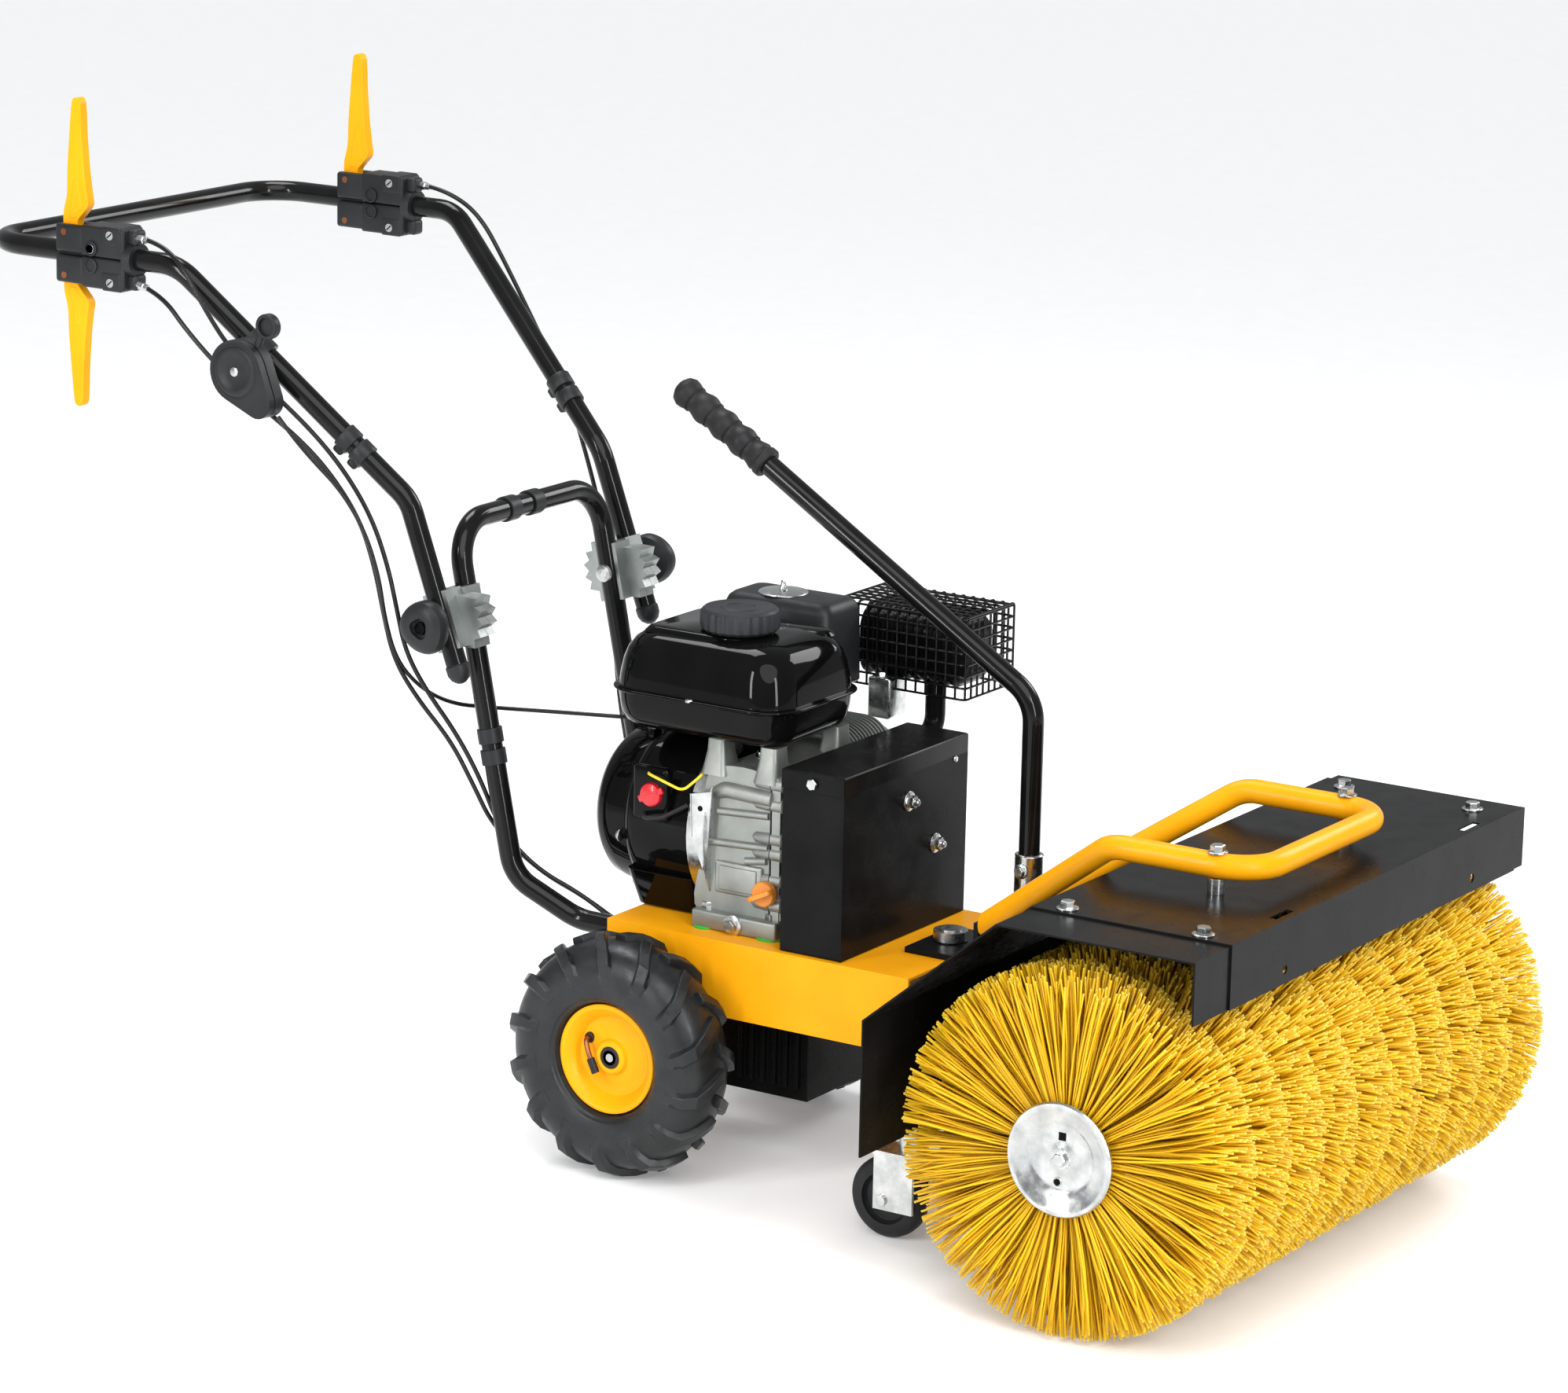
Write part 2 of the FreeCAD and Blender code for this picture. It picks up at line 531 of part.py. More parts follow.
def blower_housing():
    shell = turned("blower_shell", "y", ("0", "0", "crank_z"),
                   [("blower_front", "crank_radius + 18"), ("blower_front", "blower_radius - 6"),
                    ("blower_front + 6", "blower_radius"), ("blower_rear", "blower_radius"),
                    ("blower_rear", "blower_radius - cover_wall"),
                    ("blower_front + 7", "blower_radius - cover_wall"),
                    ("blower_front + cover_wall", "blower_radius - 8"),
                    ("blower_front + cover_wall", "crank_radius + 18")])
    switch_hole = rod("switch_hole", "x", ("-blower_radius - 4", "15", "crank_z + 39"), "9 + shaft_gap", "30")
    seat = rod("switch_seat_blank", "x", ("-blower_radius - 2", "15", "crank_z + 39"), "16", "16")
    keep = rod("blower_air", "y", ("0", "blower_front", "crank_z"), "blower_radius - cover_wall", "120")
    seat_ring = carved("switch_seat", seat, keep)
    return carved("blower_housing", fused("blower_body", shell, seat_ring), switch_hole)


def recoil_housing():
    shell = turned("recoil_shell", "y", ("0", "0", "crank_z"),
                   [("blower_rear", "recoil_radius"), ("recoil_rear - 14", "recoil_radius"),
                    ("recoil_rear", "recoil_radius - 22"), ("recoil_rear", "0"),
                    ("recoil_rear - cover_wall", "0"), ("recoil_rear - cover_wall", "recoil_radius - 23"),
                    ("recoil_rear - 15", "recoil_radius - cover_wall"),
                    ("blower_rear + cover_wall", "recoil_radius - cover_wall"),
                    ("blower_rear + cover_wall", "recoil_radius - 14"), ("blower_rear", "recoil_radius - 14")])
    slots = []
    for index in range(9):
        angle = math.radians(40 * index + 20)
        slots.append(rod(f"recoil_slot_{index}", "y",
                         (f"{math.cos(angle)} * 44", "recoil_rear - 12",
                          f"crank_z + {math.sin(angle)} * 44"), "7", "20"))
    rope_hole = rod("rope_hole", "z", ("30", "recoil_rear - 26", "crank_z + recoil_radius - 22"), "4.5", "30")
    return carved("recoil_housing", shell, rope_hole, *slots)


def recoil_handle():
    grip = block("handle_grip", ("8", "52"), ("recoil_rear - 33", "recoil_rear - 19"),
                 ("crank_z + recoil_radius + 1", "crank_z + recoil_radius + 14"))
    stem = rod("handle_stem", "z", ("30", "recoil_rear - 26", "crank_z + recoil_radius - 12"), "3", "16")
    return fused("recoil_handle", grip, stem)


def fuel_tank():
    lower = block("tank_lower", ("tank_right", "tank_left"), ("tank_front", "tank_rear"),
                  ("tank_low", "tank_seam"))
    lip = block("tank_flange", ("tank_right - tank_lip", "tank_left + tank_lip"),
                ("tank_front - tank_lip", "tank_rear + tank_lip"), ("tank_seam - 2", "tank_seam + 2"))
    upper = block("tank_upper", ("tank_right + 3", "tank_left - 3"), ("tank_front + 3", "tank_rear - 3"),
                  ("tank_seam", "tank_top"))
    neck = rod("tank_neck", "z", ("cap_x", "cap_y", "tank_top - 4"), "neck_radius", "16")
    inside = block("tank_inside", ("tank_right + 5", "tank_left - 5"), ("tank_front + 5", "tank_rear - 5"),
                   ("tank_low + tank_wall", "tank_top - tank_wall"))
    mouth = rod("tank_mouth", "z", ("cap_x", "cap_y", "tank_top - 8"), "neck_radius - 3", "24")
    return carved("fuel_tank", fused("tank_solid", lower, lip, upper, neck), inside, mouth)


def fuel_cap():
    skirt = "tank_top + 2"
    return turned("fuel_cap", "z", ("cap_x", "cap_y", "0"),
                  [(skirt, "neck_radius + face_gap"), (skirt, "cap_radius - 4"), ("tank_top + 7", "cap_radius"),
                   ("cap_top - 5", "cap_radius"), ("cap_top", "cap_radius - 5"), ("cap_top", "0"),
                   ("tank_top + 12 + face_gap", "0"), ("tank_top + 12 + face_gap", "neck_radius + face_gap")])


def cylinder_head():
    core = block("cylinder_core", ("case_left", "head_left - 12"), ("head_front + 10", "head_rear - 10"),
                 ("head_low + 8", "case_top - 4"))
    fins = [block(f"cylinder_fin_{index}", (f"case_left + 6 + fin_pitch * {index}",
                                            f"case_left + 10 + fin_pitch * {index}"),
                  ("head_front", "head_rear"), ("head_low", "case_top")) for index in range(6)]
    rocker = block("rocker_cover", ("head_left - 14", "head_left + 4"), ("head_front + 8", "head_rear - 8"),
                   ("head_low + 6", "case_top - 6"))
    return fused("cylinder_head", core, rocker, *fins)


def air_cleaner():
    case = block("cleaner_box", ("cleaner_right", "cleaner_left"), ("cleaner_front", "cleaner_rear"),
                 ("cleaner_low", "cleaner_top"))
    inside = block("cleaner_inside", ("cleaner_right + 3", "cleaner_left - 3"),
                   ("cleaner_front + 3", "cleaner_rear - 3"), ("cleaner_low + 3", "cleaner_top - 3"))
    disc = rod("cleaner_disc", "z", ("100", "-13", "cleaner_top - 1"), "24", "4")
    nut = rod("cleaner_nut", "z", ("100", "-13", "cleaner_top + 2"), "7", "9")
    return fused("air_cleaner_case", carved("cleaner_shell", case, inside), disc, nut)


def carburettor():
    body = block("carburettor_body", ("case_left + 32", "case_left + 66"), ("head_rear + 1", "head_rear + 44"),
                 ("case_top - 44", "case_top - 8"))
    bowl = rod("carburettor_bowl", "z", ("case_left + 49", "head_rear + 24", "case_top - 66"), "15", "24")
    elbow = rod("intake_elbow", "z", ("case_left + 49", "head_rear + 30", "case_top - 10"), "13",
                "cleaner_low - case_top + 10")
    return fused("carburettor", body, bowl, elbow)


def muffler():
    box = block("muffler_box", ("guard_right + 12", "guard_left - 12"), ("guard_front + 12", "guard_rear - 12"),
                ("guard_low + 8", "guard_top - 10"))
    pipe_shape = pipe([spot("head_left - 26", "head_front - 0.2", "case_top - 34"),
                       spot("head_left - 26", "head_front - 24", "case_top - 34"),
                       spot("guard_right + 36", "head_front - 24", "case_top - 10"),
                       spot("guard_right + 36", "head_front - 24", "guard_low + 14")], 11, 16)
    return fused("muffler", box, solid_feature("exhaust_pipe", pipe_shape))


def muffler_guard():
    """A cage round the hot muffler: a frame of bars, open below, tied to the muffler."""
    outer = block("guard_blank", ("guard_right", "guard_left"), ("guard_front", "guard_rear"),
                  ("guard_low", "guard_top"))
    inner = block("guard_inside", ("guard_right + guard_bar", "guard_left - guard_bar"),
                  ("guard_front + guard_bar", "guard_rear - guard_bar"), ("guard_low - 1", "guard_top - guard_bar"))
    windows = []
    for index in range(3):
        y_low = f"guard_front + 9 + {index} * (guard_rear - guard_front - 6) / 3"
        y_high = f"guard_front - 3 + {index + 1} * (guard_rear - guard_front - 6) / 3"
        windows.append(block(f"guard_side_{index}", ("guard_right - 1", "guard_left + 1"), (y_low, y_high),
                             ("guard_low + 10", "guard_top - 12")))
        windows.append(block(f"guard_roof_{index}", ("guard_right + 10", "guard_left - 10"), (y_low, y_high),
                             ("guard_top - 8", "guard_top + 1")))
    for index in range(2):
        x_low = f"guard_right + 9 + {index} * (guard_left - guard_right - 6) / 2"
        x_high = f"guard_right - 3 + {index + 1} * (guard_left - guard_right - 6) / 2"
        windows.append(block(f"guard_end_{index}", (x_low, x_high), ("guard_front - 1", "guard_rear + 1"),
                             ("guard_low + 10", "guard_top - 12")))
    ties = block("guard_tie", ("guard_right + guard_bar / 2", "guard_left - guard_bar / 2"),
                 ("(guard_front + guard_rear) / 2 - 4", "(guard_front + guard_rear) / 2 + 4"),
                 ("guard_top - 10", "guard_top - 7"))
    return fused("muffler_guard", carved("guard_frame", outer, inner, *windows), ties)


# Travel drive
def travel_gearbox():
    case = block("gearbox_case", ("-box_half", "box_half"), ("box_front", "box_rear"), ("box_low", "box_top"))
    feet = [block(f"gearbox_foot_{y}", ("-box_half", "box_half"), (y, f"{y} + 24"),
                  ("box_top - 1", "chassis_top - chassis_wall")) for y in ("-100", "-10")]
    inside = block("gearbox_inside", ("-box_half + box_wall", "box_half - box_wall"),
                   ("box_front + box_wall", "box_rear - box_wall"), ("box_low + box_wall", "box_top - box_wall"))
    axle_bore = rod("gearbox_axle_bore", "x", ("-box_half - 2", "0", "wheel_radius"), "axle_radius + shaft_gap",
                    "2 * box_half + 4")
    worm_bore = rod("gearbox_worm_bore", "y", ("0", "box_front - 2", "drive_z"), "input_radius + shaft_gap",
                    "box_wall + 4")
    tail_bore = rod("gearbox_tail_bore", "y", ("0", "box_rear - box_wall - 1", "drive_z"),
                    "input_radius + shaft_gap", "box_wall - 2")
    fins = [block(f"gearbox_fin_{index}", ("-box_half - 7", "box_half + 7"),
                  (f"box_front + 8 + {index} * 14", f"box_front + 12 + {index} * 14"),
                  ("box_low + 14", "box_top - 14")) for index in range(6)]
    solid = fused("gearbox_solid", case, *feet, *fins)
    return carved("travel_gearbox", solid, inside, axle_bore, worm_bore, tail_bore)


def travel_input():
    shaft = rod("travel_bar", "y", ("0", "travel_belt_y - groove_wide / 2 - 2", "drive_z"), "input_radius",
                "box_rear - 3 - travel_belt_y + groove_wide / 2 + 2")
    worm = rod("worm", "y", ("0", "-34", "drive_z"), "worm_radius", "68")
    group("travel_input", fused("travel_shaft", shaft, worm),
          pulley("travel_pulley", "lower_pulley", "drive_z", ("travel_belt_y",), "input_radius"))


def wheel_parts():
    axle_end = "wheel_track_half + 12"
    axle = fused("axle_solid",
          rod("axle_bar", "x", (f"-({axle_end})", "0", "wheel_radius"), "axle_radius", f"2 * ({axle_end})"),
          rod("worm_wheel", "x", ("-9", "0", "wheel_radius"), "worm_wheel", "18"))
    rim = turned("rim_form", "x", ("wheel_track_half", "0", "wheel_radius"),
                 [("-20", "axle_radius"), ("-20", "hub_radius"), ("2", "hub_radius"), ("6", "rim_radius - 8"),
                  ("-2", "rim_radius - rim_sheet"), ("-rim_half", "rim_radius - rim_sheet"),
                  ("-rim_half", "rim_lip"), ("-rim_half + rim_sheet", "rim_lip"),
                  ("-rim_half + rim_sheet", "rim_radius"), ("rim_half - rim_sheet", "rim_radius"),
                  ("rim_half - rim_sheet", "rim_lip"), ("rim_half", "rim_lip"),
                  ("rim_half", "rim_radius - rim_sheet"), ("4", "rim_radius - rim_sheet"),
                  ("10", "rim_radius - 10"), ("6", "hub_radius"), ("12", "hub_radius"), ("12", "axle_radius")])
    both("wheel_rims", rim)
    tyre = turned("tyre_form", "x", ("wheel_track_half", "0", "wheel_radius"),
                  [("-rim_half + rim_sheet + sheet_gap", "rim_radius + 0.05"),
                   ("-rim_half + rim_sheet + sheet_gap", "rim_lip + 1"),
                   ("-tyre_half", "wheel_radius - 46"), ("-tyre_half", "wheel_radius - 26"),
                   ("-tyre_half + 10", "wheel_radius - 5"), ("-tyre_half + 16", "wheel_radius"),
                   ("tyre_half - 16", "wheel_radius"), ("tyre_half - 10", "wheel_radius - 5"),
                   ("tyre_half", "wheel_radius - 26"), ("tyre_half", "wheel_radius - 46"),
                   ("rim_half - rim_sheet - sheet_gap", "rim_lip + 1"),
                   ("rim_half - rim_sheet - sheet_gap", "rim_radius + 0.05"),
                   ("rim_half - 9", "rim_radius + 0.05"), ("tyre_half - 9", "wheel_radius - 44"),
                   ("tyre_half - 20", "wheel_radius - 14"), ("-tyre_half + 20", "wheel_radius - 14"),
                   ("-tyre_half + 9", "wheel_radius - 44"), ("-rim_half + 9", "rim_radius + 0.05")])
    both("tyres", tyre)
    cap = turned("axle_cap_form", "x", ("wheel_track_half + 12", "0", "wheel_radius"),
                 [("0", "0"), ("0", "hub_radius - 4"), ("6", "hub_radius - 4"), ("9", "hub_radius - 8"),
                  ("9", "0")])
    group("wheel_axle", axle, cap, mirrored(cap))


def brush_drive():
    shaft = rod("brush_bar", "y", ("0", "swivel_y + 9", "drive_z"), "input_radius",
                "brush_belt_y + groove_wide / 2 + 2 - swivel_y - 9")
    fork = rod("joint_fork_rear", "y", ("0", "swivel_y + 9", "drive_z"), "13", "10")
    group("brush_drive", fused("brush_drive_shaft", shaft, fork),
          pulley("brush_pulley", "lower_pulley", "drive_z", ("brush_belt_y",), "input_radius"))


# Sweep head
def head_frame():
    """The welded frame of the sweep head: two swivel arms, a front plate, beam and lever socket."""
    over = ("chassis_top + face_gap", "chassis_top + face_gap + arm_thick")
    under = ("chassis_top - chassis_wall - face_gap - arm_thick", "chassis_top - chassis_wall - face_gap")
    arms = [block(f"swivel_arm_{index}", ("-arm_half", "arm_half"), ("head_plate_y", "swivel_y + 26"), heights)
            for index, heights in enumerate((over, under))]
    wing = block("socket_wing", ("0", "socket_x + socket_radius + 4"),
                 ("head_plate_y", "socket_y + socket_radius + 2"), over)
    plate = block("head_plate", ("-arm_half", "arm_half"), ("head_plate_y - arm_thick", "head_plate_y"),
                  ("beam_low", "yoke_foot_z + 4"))
    beam = block("castor_beam", ("-beam_half", "beam_half"), ("wall_y + sheet_gap", "beam_rear"),
                 ("beam_low", "beam_high"))
    strut = block("beam_strut", ("-arm_half", "arm_half"), ("wall_y + sheet_gap", "head_plate_y"),
                  ("beam_low", "drive_z + 30"))
    socket = rod("socket_tube", "z", ("socket_x", "socket_y", "chassis_top + face_gap"), "socket_radius",
                 "socket_top - chassis_top - face_gap")
    pin_hole = rod("arm_pin_hole", "z", ("0", "swivel_y", "chassis_top - 30"), "pin_radius + shaft_gap", "60")
    shaft_hole = rod("plate_shaft_hole", "y", ("0", "wall_y - 8", "drive_z"), "drive_tube",
                     "head_plate_y - wall_y + 20")
    lever_bore = rod("socket_bore", "z", ("socket_x", "socket_y", "socket_low"), "tube_radius",
                     "socket_top - socket_low + 2")
    stems = [rod(f"stem_bore_{side}", "z", (f"{side} * castor_x", "castor_y - castor_trail", "beam_low - 2"),
                 "stem_radius + shaft_gap", "beam_high - beam_low + 4") for side in ("-1", "1")]
    solid = fused("head_solid", *arms, wing, plate, beam, strut, socket)
    return carved("head_frame", solid, pin_hole, shaft_hole, lever_bore, *stems)


def head_yoke():
    half = [spot("yoke_foot_half", "yoke_foot_y", "yoke_foot_z"),
            spot("yoke_half", "yoke_bend_y", "yoke_z"),
            spot("yoke_half", "yoke_front", "yoke_z")]
    points = half + [Vector(-point.x, point.y, point.z) for point in reversed(half)]
    tube = pipe(points, size("yoke_radius"), 42, size("tube_wall"))
    front = spot("0", "head_plate_y - arm_thick", "0").y
    keep = Part.makeBox(600, 900, 600, Vector(-300, front - 900, 0))
    tube = tube.common(keep)
    for side in (-1, 1):
        centre = spot(f"{side} * yoke_half", "yoke_bolt_y", "yoke_z - 20")
        tube = tube.cut(Part.makeCylinder(size("4 + shaft_gap"), 60, centre))
    return solid_feature("head_yoke", tube)


def hood_profile(name, x_low, x_high, drop):
    """One folded sheet: front flange, flat top, sloping back and upright rear wall."""
    sheet_in = f"({drop} + hood_sheet)"
    slope = math.atan2(size("hood_top - wall_top"), size("wall_y - hood_rear"))
    top_bend = math.tan(slope / 2)
    low_bend = math.tan((math.pi / 2 - slope) / 2)
    outline = [
        (f"hood_front + {drop}", "hood_top - hood_flange"),
        (f"hood_front + {drop}", f"hood_top - {drop}"),
        (f"hood_rear - {top_bend} * {drop}", f"hood_top - {drop}"),
        (f"wall_y - {drop}", f"wall_top - {low_bend} * {drop}"),
        (f"wall_y - {drop}", "wall_low"),
        (f"wall_y - {sheet_in}", "wall_low"),
        (f"wall_y - {sheet_in}", f"wall_top - {low_bend} * {sheet_in}"),
        (f"hood_rear - {top_bend} * {sheet_in}", f"hood_top - {sheet_in}"),
        (f"hood_front + {sheet_in}", f"hood_top - {sheet_in}"),
        (f"hood_front + {sheet_in}", "hood_top - hood_flange"),
    ]
    return side_profile(name, outline, x_low, x_high)


HOOD_BOLT_Y = ("-580", "-727")
HOOD_BOLT_X = ("hood_right + 13", "hood_left - 26")
FLANGE_HOLE_X = ("-174", "228")
SLOT_X = ("-163", "239")


def hood_holes(tag):
    """Bolt holes through the hood's top, for its end strips and for the yoke."""
    holes = [rod(f"{tag}_hole_{x}_{y}", "z", (x, y, "hood_top - 12"), "4 + shaft_gap", "16")
             for x in HOOD_BOLT_X for y in HOOD_BOLT_Y]
    return holes + [rod(f"{tag}_yoke_hole_{side}", "z", (f"{side} * yoke_half", "yoke_bolt_y", "hood_top - 12"),
                        "4 + shaft_gap", "16") for side in ("-1", "1")]


def hood_parts():
    main = hood_profile("hood_sheet_form", "hood_right", "hood_left", "0")
    drive_hole = rod("wall_drive_hole", "y", ("0", "wall_y - 8", "drive_z"), "drive_tube + free_gap", "16")
    slots = [block(f"lift_slot_{x}", (f"{x} - 18", f"{x} + 18"), ("-757", "-749"),
                   ("hood_top - 8", "hood_top + 2")) for x in SLOT_X]
    flange_holes = [rod(f"flange_hole_{x}", "y", (x, "hood_front - 4", "hood_top - 50"), "4.5", "12")
                    for x in FLANGE_HOLE_X]
    carved("hood_panel", main, drive_hole, *slots, *flange_holes, *hood_holes("panel"))
    lap = "(hood_sheet + 0.1)"
    right_end = hood_profile("hood_end_right_form", "-hood_half", "hood_right + 26", lap)
    left_end = hood_profile("hood_end_left_form", "hood_left - 40", "hood_half", lap)
    group("hood_ends",
          carved("hood_end_right", right_end, *hood_holes("right")),
          carved("hood_end_left", left_end, *hood_holes("left")))


def hood_bolts():
    bolts = []
    for index, (x, y) in enumerate((x, y) for x in HOOD_BOLT_X for y in HOOD_BOLT_Y):
        bolts.append(fused(f"hood_bolt_{index}",
                           rod(f"hood_shank_{index}", "z", (x, y, "hood_top - 14"), "4", "20"),
                           rod(f"hood_head_{index}", "z", (x, y, "hood_top"), "8", "8"),
                           rod(f"hood_nut_{index}", "z", (x, y, "hood_top - 2 * hood_sheet - 6.6"), "7", "6")))
    for side in ("-1", "1"):
        x = f"{side} * yoke_half"
        bolts.append(fused(f"yoke_bolt_{side}",
                           rod(f"yoke_shank_{side}", "z", (x, "yoke_bolt_y", "hood_top - 12"), "4",
                               "yoke_z - hood_top + yoke_radius + 18"),
                           rod(f"yoke_head_{side}", "z", (x, "yoke_bolt_y", "yoke_z + yoke_radius"), "8", "8"),
                           rod(f"yoke_spacer_{side}", "z", (x, "yoke_bolt_y", "hood_top"), "9",
                               "yoke_z - hood_top - yoke_radius"),
                           rod(f"yoke_nut_{side}", "z", (x, "yoke_bolt_y", "hood_top - hood_sheet - 7"), "7", "7")))
    return group("hood_bolts", *bolts)


def brush_gearbox():
    """The cast leg at the brush's middle: an input tube, a gear case and the shaft's bearings."""
    case = rod("leg_case", "x", ("-gear_half", "brush_y", "brush_z"), "gear_radius + 10", "2 * gear_half")
    tube = rod("leg_tube", "y", ("0", "brush_y + gear_radius", "drive_z"), "drive_tube",
               "head_plate_y + 4 - brush_y - gear_radius")
    cavity = rod("leg_cavity", "x", ("-gear_half + 6", "brush_y", "brush_z"), "gear_radius + 2",
                 "2 * gear_half - 12")
    bore = rod("leg_bore", "y", ("0", "brush_y", "drive_z"), "input_radius + shaft_gap", "400")
    shaft_bore = rod("leg_shaft_bore", "x", ("-gear_half - 2", "brush_y", "brush_z"), "brush_shaft + shaft_gap",
                     "2 * gear_half + 4")
    return carved("brush_gearbox", fused("leg_solid", case, tube), cavity, bore, shaft_bore)


def head_input_shaft():
    bar = rod("input_bar", "y", ("0", "brush_y + brush_shaft + 5", "drive_z"), "input_radius",
              "swivel_y - 9 - brush_y - brush_shaft - 5")
    fork = rod("joint_fork_front", "y", ("0", "swivel_y - 19", "drive_z"), "13", "10")
    cross = rod("joint_cross", "y", ("0", "swivel_y - 10", "drive_z"), "5", "14")
    pinion = rod("bevel_pinion", "y", ("0", "brush_y + brush_shaft + 5", "drive_z"), "11", "12")
    return fused("head_input_shaft", bar, fork, cross, pinion)


def brush_parts():
    bar = rod("brush_shaft_bar", "x", ("-brush_half + 4", "brush_y", "brush_z"), "brush_shaft",
              "2 * brush_half - 8")
    gear = rod("bevel_gear", "x", ("12", "brush_y", "brush_z"), "gear_radius - 2", "5")
    shaft = fused("brush_shaft_solid", bar, gear)
    bristles = turned("bristle_form", "x", ("0", "brush_y", "brush_z"),
                      [("brush_gap", "brush_core"), ("brush_gap", "brush_radius - 6"),
                       ("brush_gap + 4", "brush_radius"), ("brush_half - 6", "brush_radius"),
                       ("brush_half", "brush_radius - 12"), ("brush_half - 13", "brush_core")])
    both("bristles", bristles)
    core = turned("core_form", "x", ("0", "brush_y", "brush_z"),
                  [("brush_gap", "brush_shaft"), ("brush_gap", "brush_core"), ("brush_half - 12", "brush_core"),
                   ("brush_half - 12", "brush_shaft")])
    group("brush_shaft", shaft, core, mirrored(core))
    disc = turned("disc_form", "x", ("0", "brush_y", "brush_z"),
                  [("brush_half - 12", "0"), ("brush_half - 12", "disc_radius - 14"),
                   ("brush_half + 1", "disc_radius"), ("brush_half + 4", "disc_radius"),
                   ("brush_half - 1", "disc_radius - 15"), ("brush_half - 1", "11"), ("brush_half + 7", "10"),
                   ("brush_half + 7", "0")])
    hollow = rod("disc_shaft_seat", "x", ("brush_half - 20", "brush_y", "brush_z"), "brush_shaft", "16")
    both("brush_discs", carved("disc_piece", disc, hollow))


def castor_fork(name, side):
    x = f"{side} * castor_x"
    plate_low = "castor_radius * 2 + 4"
    crown = block(name + "_crown", (f"{x} - castor_half - 6", f"{x} + castor_half + 6"),
                  ("castor_y - castor_trail - 16", "castor_y + 12"), (plate_low, f"{plate_low} + 5"))
    cheeks = []
    for face in ("-1", "1"):
        middle = f"{x} + {face} * (castor_half + 4)"
        cheeks.append(block(f"{name}_cheek_{face}", (f"{middle} - 2", f"{middle} + 2"),
                            ("castor_y - castor_trail - 10", "castor_y + 10"),
                            ("castor_radius - 10", f"{plate_low} + 2")))
    axle = rod(name + "_axle", "x", (f"{x} - castor_half - 9", "castor_y", "castor_radius"), "castor_pin",
               "2 * castor_half + 18")
    stem = rod(name + "_stem", "z", (x, "castor_y - castor_trail", plate_low), "stem_radius",
               f"beam_high + 4 - ({plate_low})")
    collar = rod(name + "_collar", "z", (x, "castor_y - castor_trail", f"{plate_low} + 2"), "stem_radius + 7",
                 f"beam_low - face_gap - ({plate_low}) - 2")
    cap = rod(name + "_cap", "z", (x, "castor_y - castor_trail", "beam_high + face_gap"), "stem_radius + 4", "5")
    return fused(name, crown, *cheeks, axle, stem, collar, cap)


def castor_wheel(name, side):
    return turned(name, "x", (f"{side} * castor_x", "castor_y", "castor_radius"),
                  [("-castor_half", "castor_pin + shaft_gap"), ("-castor_half", "castor_radius - 6"),
                   ("-castor_half + 4", "castor_radius"), ("castor_half - 4", "castor_radius"),
                   ("castor_half", "castor_radius - 6"), ("castor_half", "castor_pin + shaft_gap")])


def angle_lever():
    """The long steering lever: upright in its socket, then bent back towards the operator."""
    foot = spot("socket_x", "socket_y", "socket_low")
    bend = spot("socket_x", "socket_y", "lever_bend_z")
    end = spot("socket_x", "lever_end_y", "lever_end_z")
    solid_feature("angle_lever", pipe([foot, bend, end], size("tube_radius - 0.05"), 45, size("tube_wall")))
    back = (bend - end).normalize()
    start = end + back * (size("lever_grip") - 6)
    outer = bar_between(start, end - back * 6, size("lever_grip_radius"))
    hollow = bar_between(start + back * 2, end - back * 0.5, size("tube_radius"))
    solid_feature("lever_grip", outer.cut(hollow))


# Handlebar
def handlebar_points():
    half = [upper_leg_point(1, -size("upper_tail")),
            upper_leg_point(1, size("upper_rise")),
            spot("grip_half", "grip_front", "grip_z"),
            spot("grip_half", "grip_rear", "grip_z")]
    return half + [Vector(-point.x, point.y, point.z) for point in reversed(half)]


def handlebar_tube():
    tube = pipe(handlebar_points(), size("tube_radius"), 50, size("tube_wall"))
    for side in (-1, 1):
        centre = upper_leg_point(side, 0)
        tube = tube.cut(bar_between(centre - Vector(30, 0, 0), centre + Vector(30, 0, 0),
                                    size("clamp_bolt_radius + shaft_gap")))
    return solid_feature("handlebar_tube", tube)


